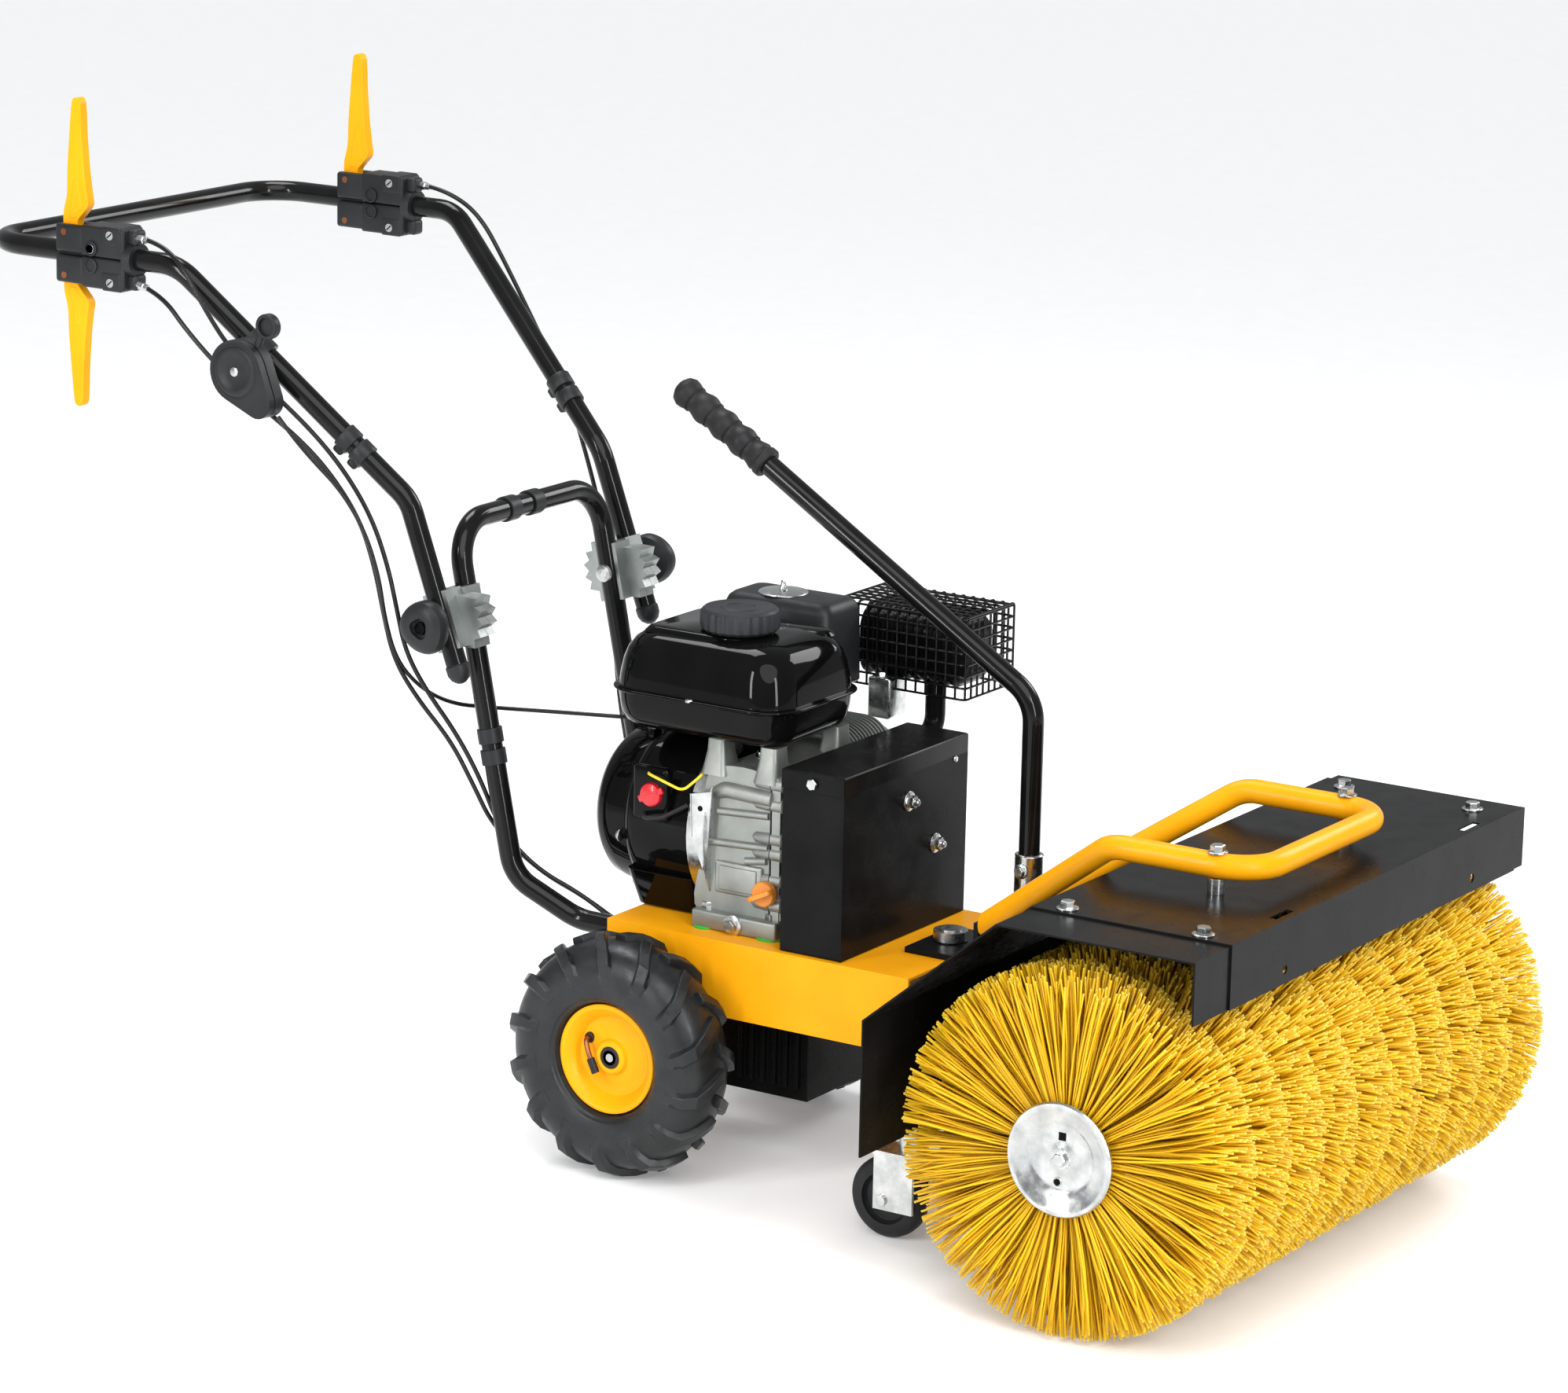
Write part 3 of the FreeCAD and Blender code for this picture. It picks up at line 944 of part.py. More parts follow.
def lever_mounts():
    """Two moulded halves on each grip tube; an ear with a slot holds each lever's pin."""
    halves = []
    for side in ("-1", "1"):
        for face in ("-1", "1"):
            if face == "1":
                rise = ("grip_z + 0.2", "grip_z + mount_height")
            else:
                rise = ("grip_z - mount_height", "grip_z - 0.2")
            tag = f"mount_{side}_{face}"
            middle = f"{side} * grip_half"
            body = block(tag + "_body", (f"{middle} - mount_half", f"{middle} + mount_half"),
                         ("mount_front", "mount_rear"), rise)
            ear = block(tag + "_ear", (f"{middle} - mount_half", f"{middle} + mount_half"),
                        ("mount_rear - 1", "ear_rear"),
                        ("grip_z + 2" if face == "1" else "grip_z - 31", "grip_z + 31" if face == "1"
                         else "grip_z - 2"))
            slot = block(tag + "_slot", (f"{middle} - lever_thick / 2 - face_gap",
                                         f"{middle} + lever_thick / 2 + face_gap"),
                         ("mount_rear - 14", "ear_rear + 1"),
                         ("grip_z + 1.9" if face == "1" else "grip_z - mount_height - 1",
                          "grip_z + mount_height + 1" if face == "1" else "grip_z - 1.9"))
            tube = rod(tag + "_tube", "y", (middle, "mount_front - 10", "grip_z"), "tube_radius + shaft_gap",
                       "ear_rear - mount_front + 20")
            pin = rod(tag + "_pin", "x", (f"{middle} - mount_half", "pin_y", f"grip_z + {face} * pin_height"),
                      "lever_pin", "2 * mount_half")
            pieces = carved(tag + "_shell", fused(tag + "_solid", body, ear), slot, tube)
            halves.append(fused(tag, pieces, pin))
    return group("lever_mounts", *halves)


def clutch_lever(name, side, face):
    """A tapered paddle on its pin, standing away from the grip until it is squeezed."""
    x = size(f"{side} * grip_half")
    thick = size("lever_thick")
    pin = spot("0", "pin_y", f"grip_z + {face} * pin_height")
    wide = size("lever_wide")
    length = size("lever_length")

    def corner(y, rise):
        return Vector(x - thick / 2, pin.y + y, pin.z + face * rise)

    root = [corner(7, -6), corner(9, 8), corner(2 + wide * 0.2, 60), corner(-2, length),
            corner(-10, length + 3), corner(-17, length - 3), corner(-wide, 42), corner(-wide + 3, 26),
            corner(-9, 16), corner(-7, -6)]
    blade = Part.Face(Part.makePolygon(root + root[:1])).extrude(Vector(thick, 0, 0))
    bore = Part.makeCylinder(size("lever_pin + shaft_gap"), thick + 4, Vector(x - thick / 2 - 2, pin.y, pin.z),
                             Vector(1, 0, 0))
    return solid_feature(name, blade.cut(bore))


def throttle_centre():
    """The housing hangs under the sloping leg, a share of the way from grip bend to knee."""
    point = beside_slope(-1, size("throttle_share"), size("throttle_below"), 0)
    return point.y - size("axle_y"), point.z


def throttle_parts():
    centre_y, centre_z = throttle_centre()
    inner = rod("throttle_inner_disc", "x", ("-throttle_outer + 16", centre_y, centre_z), "throttle_radius",
                "throttle_outer - 16 - throttle_inner")
    outer = rod("throttle_outer_disc", "x", ("-throttle_outer", centre_y, centre_z), "throttle_radius", "8")
    back = block("throttle_tail", ("-throttle_outer + 2", "-throttle_inner"),
                 (f"{centre_y} - 62", f"{centre_y} - 27"), (f"{centre_z} - 40", f"{centre_z} - 8"))
    hub = rod("throttle_hub", "x", ("-throttle_outer - 2", centre_y, centre_z), "5", "30")
    foot = block("throttle_foot", ("-throttle_inner - 1", "-grip_half + 26"),
                 (f"{centre_y} - 16", f"{centre_y} + 3"), (centre_z, f"{centre_z} + 14"))
    solid = fused("throttle_solid", inner, outer, back, hub, foot)
    leg = handlebar_points()
    groove = solid_feature("throttle_groove", bar_between(Vector(-leg[1].x, leg[1].y, leg[1].z),
                                                          Vector(-leg[2].x, leg[2].y, leg[2].z),
                                                          size("tube_radius + shaft_gap")))
    carved("throttle_housing", solid, groove)
    disc = rod("throttle_disc", "x", ("-throttle_outer + 9", centre_y, centre_z), "throttle_radius - 9", "6")
    reach = bar_between(spot("-throttle_outer + 12", centre_y, centre_z),
                        spot("-throttle_outer + 12", f"{centre_y} - 30", f"{centre_z} + 42"), 2.8)
    ring = Part.makeTorus(10, 3.5, spot("-throttle_outer + 12", f"{centre_y} - 36", f"{centre_z} + 50"),
                          Vector(1, 0, 0))
    arm = solid_feature("throttle_arm", reach.fuse(ring))
    bore = rod("throttle_bore", "x", ("-throttle_outer", centre_y, centre_z), "5 + shaft_gap", "30")
    carved("throttle_lever", fused("throttle_lever_solid", disc, arm), bore)


def engine_controls():
    switch = fused("switch_solid",
                   rod("switch_stem", "x", ("-blower_radius - 4", "15", "crank_z + 39"), "9", "17"),
                   rod("switch_knob", "x", ("-blower_radius - 14", "15", "crank_z + 39"), "13", "11.5"),
                   block("switch_tab", ("-blower_radius - 14", "-blower_radius - 8"), ("11", "34"),
                         ("crank_z + 36", "crank_z + 42")))
    switch.Label = "engine_switch"
    plug_y, plug_z = "case_front + 10", "chassis_top + 49"
    cap = fused("oil_cap_solid",
                rod("oil_cap_stem", "x", ("case_right - 2", plug_y, plug_z), "9", "12"),
                rod("oil_cap_flange", "x", ("case_right - 8 - face_gap", plug_y, plug_z), "13", "8"),
                block("oil_cap_grip", ("case_right - 22", "case_right - 8"), (f"{plug_y} - 3", f"{plug_y} + 3"),
                      (f"{plug_z} - 15", f"{plug_z} + 15")))
    cap.Label = "oil_filler_cap"


# Bowden cables: upper runs ride on the handlebar and lower runs on the chassis
def beside_slope(side, share, below, out):
    """A point beside the handlebar's sloping leg: a share of the way from grip bend to knee."""
    knee = upper_leg_point(side, size("upper_rise"))
    top = spot(f"{side} * grip_half", "grip_front", "grip_z")
    run = knee - top
    under = Vector(0, -run.z, run.y).normalize()
    return top + run * share + under * below + Vector(side * out, 0, 0)


def beside_joint(side, behind, above, out):
    """A point round the fold axis, outboard of the tube's swing and clear of the knob."""
    return spot(f"{side} * (upper_half + tube_radius + {out})", f"pivot_y + {behind}", f"pivot_z + {above}")


def beside_lower_leg(side, drop, behind, out):
    foot = lower_handle_points()[2]
    top = lower_leg_point(1, size("lower_top_rise"))
    point = top + (foot - top) * ((size("lower_top_rise") + drop) / size("lower_top_rise + lower_foot_drop"))
    return Vector(side * (point.x + out), point.y + behind, point.z)


def cable(points):
    return pipe(points, size("cable_radius"), 60)


def upper_cable(side, face, below, start_out):
    """From a lever mount, under the sloping leg and down to the fold joint."""
    start = spot(f"{side} * (grip_half + 4)", "mount_front - 1", f"grip_z + {face} * 24")
    ahead = spot(f"{side} * (grip_half + {start_out})", "mount_front - 40", f"grip_z + {face} * 20")
    return cable([start, ahead, beside_slope(side, 0.12, 3 if face > 0 else below, start_out + 2),
                  beside_slope(side, 0.3, below + 5, -2), beside_slope(side, 0.6, below, -1),
                  beside_slope(side, 0.88, below, 6), beside_joint(side, 54, 84, 6),
                  beside_joint(side, 50, 42, 8 + (below - 19) * 0.7)])


def lower_cable(side, spread, foot_out):
    """From the fold joint, across to the lower leg and down into the chassis."""
    return cable([beside_joint(side, 50, "42 - cable_split", 8 + spread),
                  beside_joint(side, 54, -6, 9 + spread), beside_joint(side, 44, -66, 6 + spread), beside_lower_leg(side, 112, 14 + spread, 16),
                  beside_lower_leg(side, 160, 19 + spread, 0), beside_lower_leg(side, 205, 20 + spread, -4),
                  beside_lower_leg(side, 245, 18 + spread, -12 - foot_out),
                  spot(f"{side} * ({FOOT_X} - 20 - {foot_out})", "foot_bend_y + 30", f"{FOOT_Z} + 30"),
                  spot(f"{side} * ({FOOT_X} - 22 - {foot_out})", "chassis_rear + 8", f"{FOOT_Z} - 6"),
                  spot(f"{side} * ({FOOT_X} - 22 - {foot_out})", "chassis_rear - 30", f"{FOOT_Z} - 8")])


def cable_parts():
    centre_y, centre_z = throttle_centre()
    throttle_upper = cable([
        spot("-throttle_outer + 8", f"{centre_y} - 64", f"{centre_z} - 26"),
        spot("-throttle_outer + 10", f"{centre_y} - 84", f"{centre_z} - 44"), beside_slope(-1, 0.8, 10, 24),
        beside_slope(-1, 0.94, 22, 15), beside_joint(-1, 57, 84, 13), beside_joint(-1, 54, 42, 17)])
    throttle_lower = cable([
        beside_joint(-1, 54, "42 - cable_split", 17), beside_joint(-1, 58, -4, 16),
        beside_joint(-1, 50, -54, 6),
        spot("-lower_half - 12", "pivot_y + 36", "pivot_z - 94"),
        spot("-lower_half + 30", "pivot_y + 16", "tank_low - 10"),
        spot("-68", "tank_rear + 50", "tank_low - 4"), spot("-40", "tank_rear + 4", "tank_low - 7.5"),
        spot("12", "tank_rear - 20", "tank_low - 7.5"), spot("cleaner_right - 4", "28", "tank_low - 7.5"),
        spot("case_left + 26", "12", "case_top + 8"),
        spot("case_left + 49", "cleaner_rear - 10", "case_top + 2")])
    solid_feature("upper_cables", Part.Compound([
        upper_cable(-1, 1, 19, 19), upper_cable(-1, -1, 26, 5), upper_cable(1, 1, 19, 19), throttle_upper]))
    solid_feature("lower_cables", Part.Compound([
        lower_cable(-1, 0, 0), lower_cable(-1, 5, 8), lower_cable(1, 0, 0), throttle_lower]))


def build():
    chassis_frame()
    lower_handle_tube()
    clamp_halves()
    clamp_bolts()
    clamp_knob("clamp_knob_left", 1)
    clamp_knob("clamp_knob_right", -1)
    pivot_pin()
    engine_crankcase()
    chassis_bolts()
    crank_parts()
    blower_housing()
    recoil_housing()
    recoil_handle()
    fuel_tank()
    fuel_cap()
    cylinder_head()
    air_cleaner()
    carburettor()
    muffler()
    muffler_guard()
    belt_cover()
    solid_feature("drive_belts", Part.Compound([belt_loop("travel_belt_y"), belt_loop("brush_belt_y")]))
    idler_arm("travel_idler", -1, "travel_belt_y")
    idler_arm("brush_idler", 1, "brush_belt_y")
    travel_gearbox()
    travel_input()
    wheel_parts()
    brush_drive()
    head_frame()
    head_yoke()
    hood_parts()
    hood_bolts()
    brush_gearbox()
    head_input_shaft()
    brush_parts()
    for name, side in (("right", "-1"), ("left", "1")):
        castor_fork(f"castor_fork_{name}", side)
        castor_wheel(f"castor_wheel_{name}", side)
    angle_lever()
    handlebar_tube()
    lever_mounts()
    clutch_lever("travel_lever", -1, 1)
    clutch_lever("reverse_lever", -1, -1)
    clutch_lever("brush_lever", 1, 1)
    throttle_parts()
    engine_controls()
    cable_parts()


NODES = (
    "chassis_frame", "lower_handle_tube", "clamp_inner_halves", "clamp_bolts", "swivel_pin",
    "travel_gearbox", "engine_crankcase", "cylinder_head", "blower_housing", "recoil_housing",
    "chassis_bolts", "fuel_tank", "air_cleaner_case", "carburettor", "muffler", "muffler_guard",
    "belt_cover", "drive_belts", "lower_cables",
    "crankshaft", "flywheel", "engine_pulley",
    "travel_input", "brush_drive", "wheel_axle", "wheel_rims", "tyres",
    "head_frame", "head_yoke", "brush_gearbox", "hood_panel", "hood_ends",
    "hood_bolts", "angle_lever", "lever_grip", "head_input_shaft",
    "brush_shaft", "brush_discs", "bristles",
    "castor_fork_right", "castor_wheel_right", "castor_fork_left", "castor_wheel_left",
    "handlebar_tube", "clamp_outer_halves", "lever_mounts", "throttle_housing", "upper_cables",
    "travel_lever", "reverse_lever", "brush_lever", "throttle_lever", "clamp_knob_right",
    "clamp_knob_left", "fuel_cap", "oil_filler_cap", "engine_switch", "recoil_handle",
    "travel_idler", "brush_idler",
)


def write_parts():
    """Check every object, then write each sub-part under its own name."""
    document.recompute()
    failed = [item.Name for item in document.Objects if {"Invalid", "Error"} & set(item.State)]
    if failed:
        raise RuntimeError(f"failed objects: {failed}")
    labelled = {item.Label: item for item in document.Objects}
    os.makedirs("parts", exist_ok=True)
    for name in NODES:
        shape = labelled[name].Shape
        if shape.isNull() or not shape.isValid():
            raise RuntimeError(f"{name} has no valid shape")
        shape.exportStep(f"parts/{name}.step")
        box = shape.BoundBox
        print(f"{name}: {len(shape.Solids)} solids, {shape.Volume / 1000:.1f} cm3, "
              f"x {box.XMin:.1f} {box.XMax:.1f} y {box.YMin:.1f} {box.YMax:.1f} z {box.ZMin:.1f} {box.ZMax:.1f}")


build()
write_parts()
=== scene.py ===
import json
import math
import random

import bmesh
import bpy
import numpy as np
from mathutils import Matrix, Vector

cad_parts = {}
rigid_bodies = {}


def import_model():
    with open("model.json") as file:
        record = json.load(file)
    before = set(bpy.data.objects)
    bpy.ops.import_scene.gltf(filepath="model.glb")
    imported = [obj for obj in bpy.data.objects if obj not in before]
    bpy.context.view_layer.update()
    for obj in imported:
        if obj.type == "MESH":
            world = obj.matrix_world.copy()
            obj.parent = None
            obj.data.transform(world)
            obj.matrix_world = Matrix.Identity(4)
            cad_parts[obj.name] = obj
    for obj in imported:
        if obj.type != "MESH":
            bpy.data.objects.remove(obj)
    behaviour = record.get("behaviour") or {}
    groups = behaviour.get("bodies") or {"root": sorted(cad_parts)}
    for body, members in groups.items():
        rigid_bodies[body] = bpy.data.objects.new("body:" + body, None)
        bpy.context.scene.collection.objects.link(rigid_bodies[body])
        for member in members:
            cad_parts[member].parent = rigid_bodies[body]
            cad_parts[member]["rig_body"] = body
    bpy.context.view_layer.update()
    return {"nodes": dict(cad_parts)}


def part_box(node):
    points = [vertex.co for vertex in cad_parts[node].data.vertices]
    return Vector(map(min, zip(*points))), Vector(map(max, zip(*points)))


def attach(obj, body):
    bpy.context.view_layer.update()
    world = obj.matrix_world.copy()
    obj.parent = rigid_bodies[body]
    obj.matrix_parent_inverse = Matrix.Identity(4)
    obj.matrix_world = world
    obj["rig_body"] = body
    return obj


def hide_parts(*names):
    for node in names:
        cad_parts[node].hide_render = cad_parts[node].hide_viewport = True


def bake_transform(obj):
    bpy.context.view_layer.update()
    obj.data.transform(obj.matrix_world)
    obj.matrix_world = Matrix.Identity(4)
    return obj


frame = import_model()
dice = random.Random(7)

# Shapes are written in millimetres from the drive axle, and GLOBAL puts them in the row frame.
axle_low, axle_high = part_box("wheel_axle")
AXLE_Y = (axle_low.y + axle_high.y) / 2
GLOBAL = Matrix.Translation((0, AXLE_Y, 0)) @ Matrix.Scale(0.001, 4)


def facing(point, axis, spin=0):
    """A place whose own Z points along an axis of the machine."""
    turn = Vector(axis).to_track_quat("Z", "Y").to_matrix().to_4x4()
    return GLOBAL @ Matrix.Translation(point) @ turn @ rolled(spin)


def rolled(degrees):
    """A turn about a piece's own Z."""
    return Matrix.Rotation(math.radians(degrees), 4, "Z")


def placed(name, data):
    """A new object in the scene."""
    item = bpy.data.objects.new(name, data)
    bpy.context.scene.collection.objects.link(item)
    return item


# Materials
def mixed(tree, factor, low, high):
    """A colour between two tones, by a factor socket."""
    mix = tree.nodes.new("ShaderNodeMix")
    mix.data_type = "RGBA"
    mix.inputs[6].default_value = (*low, 1)
    mix.inputs[7].default_value = (*high, 1)
    tree.links.new(factor, mix.inputs[0])
    return mix.outputs[2]


def noise(tree, scale, detail=4.0, stretch=None):
    """Noise over the object's own coordinates; scale is in waves per metre."""
    coordinates = tree.nodes.new("ShaderNodeTexCoord").outputs["Object"]
    if stretch:
        mapping = tree.nodes.new("ShaderNodeMapping")
        mapping.inputs["Scale"].default_value = stretch
        tree.links.new(coordinates, mapping.inputs["Vector"])
        coordinates = mapping.outputs["Vector"]
    texture = tree.nodes.new("ShaderNodeTexNoise")
    texture.inputs["Scale"].default_value = scale
    texture.inputs["Detail"].default_value = detail
    tree.links.new(coordinates, texture.inputs["Vector"])
    return texture.outputs["Fac"]


def ranged(tree, factor, low, high, start=0.3, end=0.7):
    """A factor stretched from start..end to low..high."""
    node = tree.nodes.new("ShaderNodeMapRange")
    node.inputs["From Min"].default_value = start
    node.inputs["From Max"].default_value = end
    node.inputs["To Min"].default_value = low
    node.inputs["To Max"].default_value = high
    tree.links.new(factor, node.inputs["Value"])
    return node.outputs["Result"]


def surface(name, dark, light, rough, metal=0.0, coat=0.0, patch=18, grain=900, depth=0.15, relief=0.0004,
            stretch=None, speck=None, specular=0.5):
    """A finish with a two-tone body, patchy roughness, fine relief and, where given, specks."""
    material = bpy.data.materials.new(name)
    material.use_nodes = True
    tree = material.node_tree
    shader = tree.nodes["Principled BSDF"]
    shader.inputs["Metallic"].default_value = metal
    shader.inputs["Coat Weight"].default_value = coat
    shader.inputs["Coat Roughness"].default_value = 0.04
    shader.inputs["Specular IOR Level"].default_value = specular
    body = mixed(tree, ranged(tree, noise(tree, patch), 0, 1), dark, light)
    if speck:
        colour, amount = speck
        spots = ranged(tree, noise(tree, grain * 0.3, 6), 0, 1, 1 - amount, 1.05 - amount)
        blend = tree.nodes.new("ShaderNodeMix")
        blend.data_type = "RGBA"
        blend.inputs[7].default_value = (*colour, 1)
        tree.links.new(spots, blend.inputs[0])
        tree.links.new(body, blend.inputs[6])
        body = blend.outputs[2]
    tree.links.new(body, shader.inputs["Base Color"])
    patches = noise(tree, patch * 2.3, 5, stretch)
    tree.links.new(ranged(tree, patches, *rough), shader.inputs["Roughness"])
    bump = tree.nodes.new("ShaderNodeBump")
    bump.inputs["Strength"].default_value = depth
    bump.inputs["Distance"].default_value = relief
    tree.links.new(noise(tree, grain, 3, stretch), bump.inputs["Height"])
    tree.links.new(bump.outputs["Normal"], shader.inputs["Normal"])
    return material


YELLOW = surface("yellow_paint", (0.85, 0.345, 0.004), (0.91, 0.39, 0.006), (0.3, 0.42), coat=0.04, grain=420,
                 depth=0.12, speck=((0.77, 0.3, 0.005), 0.16), specular=0.1)
TUBE = surface("black_tube_gloss", (0.004, 0.004, 0.004), (0.008, 0.008, 0.008), (0.12, 0.22), coat=0.2,
               grain=500, depth=0.05, specular=0.12)
SHEET = surface("black_sheet_satin", (0.005, 0.005, 0.005), (0.009, 0.009, 0.009), (0.2, 0.3), coat=0.02,
                grain=650, depth=0.07, speck=((0.012, 0.012, 0.012), 0.1), specular=0.06)
GLOSS = surface("gloss_black_enamel", (0.002, 0.002, 0.002), (0.004, 0.004, 0.004), (0.05, 0.1), coat=0.17,
                grain=120, depth=0.02, specular=0.05)
CAST = surface("cast_aluminium", (0.22, 0.235, 0.22), (0.36, 0.375, 0.35), (0.34, 0.52), metal=0.8,
               grain=1100, depth=0.5, speck=((0.17, 0.17, 0.16), 0.22))
BRIGHT_CAST = surface("bright_cast_aluminium", (0.24, 0.26, 0.25), (0.4, 0.42, 0.41), (0.3, 0.45), metal=0.85,
                      grain=900, depth=0.35, speck=((0.24, 0.25, 0.24), 0.18))
ZINC = surface("zinc_plate", (0.42, 0.44, 0.44), (0.64, 0.65, 0.64), (0.16, 0.34), metal=1.0, patch=60,
               grain=260, depth=0.12, speck=((0.42, 0.4, 0.34), 0.2))
STEEL = surface("turned_steel", (0.4, 0.4, 0.41), (0.58, 0.58, 0.58), (0.22, 0.4), metal=1.0, patch=30,
                grain=700, depth=0.2, stretch=(1, 8, 8))
PLASTIC = surface("black_plastic", (0.008, 0.009, 0.01), (0.016, 0.017, 0.019), (0.36, 0.5), grain=1500,
                  depth=0.35, relief=0.0003, specular=0.3)
CAP_PLASTIC = surface("grey_black_plastic", (0.014, 0.016, 0.019), (0.024, 0.026, 0.03), (0.42, 0.55),
                      grain=1300, depth=0.35, specular=0.3)
RUBBER = surface("black_rubber", (0.006, 0.006, 0.007), (0.013, 0.013, 0.014), (0.45, 0.62), grain=1200,
                 depth=0.35, specular=0.3)
CABLE = surface("cable_sheath", (0.005, 0.005, 0.006), (0.01, 0.01, 0.01), (0.2, 0.3), grain=900, depth=0.1,
                specular=0.3)
TYRE = surface("tyre_rubber", (0.008, 0.009, 0.01), (0.016, 0.018, 0.019), (0.26, 0.46), patch=40,
               grain=800, depth=0.3, speck=((0.026, 0.026, 0.024), 0.16), specular=0.35)
RED = surface("red_plastic", (0.48, 0.004, 0.01), (0.62, 0.01, 0.02), (0.25, 0.36), coat=0.3, grain=900,
              depth=0.15)
ORANGE = surface("orange_plastic", (0.62, 0.2, 0.015), (0.78, 0.27, 0.03), (0.28, 0.4), grain=900, depth=0.25)
BRASS = surface("brown_zinc_pin", (0.2, 0.07, 0.03), (0.32, 0.13, 0.06), (0.3, 0.45), metal=0.9, grain=900)
WIRE = surface("yellow_wire", (0.72, 0.55, 0.01), (0.85, 0.68, 0.03), (0.35, 0.45), grain=900)
GREEN = surface("green_washer", (0.02, 0.34, 0.03), (0.05, 0.5, 0.06), (0.4, 0.5), grain=900)
# A near-black matt finish for painted shade: dark patches set in holes, slots, sockets and grooves stand in
# for the shade inside them.
PAINTED_SHADE = surface("painted_hollow_shade", (0.002, 0.002, 0.002), (0.004, 0.004, 0.004), (0.6, 0.8), grain=900,
               specular=0.1)
BELT = surface("belt_rubber", (0.008, 0.008, 0.008), (0.014, 0.014, 0.014), (0.6, 0.75), grain=1400,
               depth=0.4, specular=0.3)


def bristle_material():
    """Golden plastic filament, with painted shade darkening it towards its root deep in the brush, and pale
    at its cut tip.
    """
    material = bpy.data.materials.new("bristle_filament")
    material.use_nodes = True
    tree = material.node_tree
    shader = tree.nodes["Principled BSDF"]
    shader.inputs["Specular IOR Level"].default_value = 0.3
    shader.inputs["Subsurface Weight"].default_value = 0.12
    shader.inputs["Subsurface Radius"].default_value = (0.004, 0.002, 0.0005)

    def attribute(name):
        node = tree.nodes.new("ShaderNodeAttribute")
        node.attribute_name = name
        return node.outputs["Fac"]

    # Colour along each filament: the darker amber towards the root is painted shade among the packed
    # filaments; the last stop is the pale cut tip.
    along = tree.nodes.new("ShaderNodeValToRGB")
    stops = along.color_ramp.elements
    stops[0].position, stops[0].color = 0.0, (0.80, 0.46, 0.008, 1)
    stops[1].position, stops[1].color = 1.0, (1.0, 0.74, 0.12, 1)
    for position, colour in ((0.4, (0.90, 0.55, 0.01, 1)), (0.8, (0.93, 0.56, 0.01, 1)),
                             (0.985, (0.95, 0.58, 0.015, 1))):
        stop = stops.new(position)
        stop.color = colour
    tree.links.new(attribute("along"), along.inputs["Fac"])
    tone = mixed(tree, attribute("tone"), (0.74, 0.7, 0.62), (1.0, 1.0, 1.0))
    blend = tree.nodes.new("ShaderNodeMix")
    blend.data_type = "RGBA"
    blend.blend_type = "MULTIPLY"
    blend.inputs[0].default_value = 1.0
    tree.links.new(along.outputs["Color"], blend.inputs[6])
    tree.links.new(tone, blend.inputs[7])
    tree.links.new(blend.outputs[2], shader.inputs["Base Color"])
    tree.links.new(ranged(tree, noise(tree, 300), 0.3, 0.45), shader.inputs["Roughness"])
    return material


BRISTLE = bristle_material()


# Shape makers: each returns vertices in millimetres and faces
AXES = {"x": lambda u, v, w: (w, u, v), "y": lambda u, v, w: (u, w, v), "z": lambda u, v, w: (u, v, w)}


def turned(profile, steps=48, ribs=0, depth=0.0):
    """A solid of revolution about Z from (along, radius) pairs; ribs make its rim wavy."""
    verts, rings, faces = [], [], []
    for along, radius in profile:
        if radius < 0.001:
            rings.append([len(verts)])
            verts.append((0, 0, along))
            continue
        start = len(verts)
        for step in range(steps):
            angle = 2 * math.pi * step / steps
            reach = radius + (depth * math.cos(ribs * angle) if ribs else 0)
            verts.append((reach * math.cos(angle), reach * math.sin(angle), along))
        rings.append(list(range(start, start + steps)))
    for first, second in zip(rings, rings[1:]):
        if len(first) == 1 and len(second) == 1:
            continue
        for step in range(steps):
            after = (step + 1) % steps
            if len(first) == 1:
                faces.append((first[0], second[after], second[step]))
            elif len(second) == 1:
                faces.append((first[step], first[after], second[0]))
            else:
                faces.append((first[step], first[after], second[after], second[step]))
    return verts, faces


def spun(profile, steps=48, ribs=0, depth=0.0):
    """A turned solid, closed by a flat face at each end of its profile."""
    return turned([(profile[0][0], 0), *profile, (profile[-1][0], 0)], steps, ribs, depth)


def disc(radius, low, high, steps):
    """A plain cylinder about Z."""
    return spun([(low, radius), (high, radius)], steps)


def block(xs, ys, zs):
    """A plain box between pairs of limits."""
    verts = [(x, y, z) for z in zs for y in ys for x in xs]
    return verts, [(0, 2, 3, 1), (4, 5, 7, 6), (0, 1, 5, 4), (2, 6, 7, 3), (0, 4, 6, 2), (1, 3, 7, 5)]


def prism(outline, axis, low, high):
    """An outline pushed along X, Y or Z."""
    count = len(outline)
    order = AXES[axis]
    verts = [order(u, v, low) for u, v in outline] + [order(u, v, high) for u, v in outline]
    faces = [(i, (i + 1) % count, count + (i + 1) % count, count + i) for i in range(count)]
    return verts, faces + [tuple(reversed(range(count))), tuple(range(count, 2 * count))]


def loft(sections, axis="z", corner_steps=5):
    """Rounded rectangles (along, u low, u high, v low, v high, corner radius) joined in order."""
    order = AXES[axis]
    verts, faces = [], []
    count = 4 * (corner_steps + 1)
    for along, u_low, u_high, v_low, v_high, radius in sections:
        centres = ((u_high - radius, v_high - radius, 0), (u_low + radius, v_high - radius, 90),
                   (u_low + radius, v_low + radius, 180), (u_high - radius, v_low + radius, 270))
        for u, v, start in centres:
            for step in range(corner_steps + 1):
                angle = math.radians(start + 90 * step / corner_steps)
                verts.append(order(u + radius * math.cos(angle), v + radius * math.sin(angle), along))
    for ring in range(len(sections) - 1):
        base = ring * count
        for i in range(count):
            after = (i + 1) % count
            faces.append((base + i, base + after, base + count + after, base + count + i))
    last = (len(sections) - 1) * count
    return verts, faces + [tuple(reversed(range(count))), tuple(range(last, last + count))]


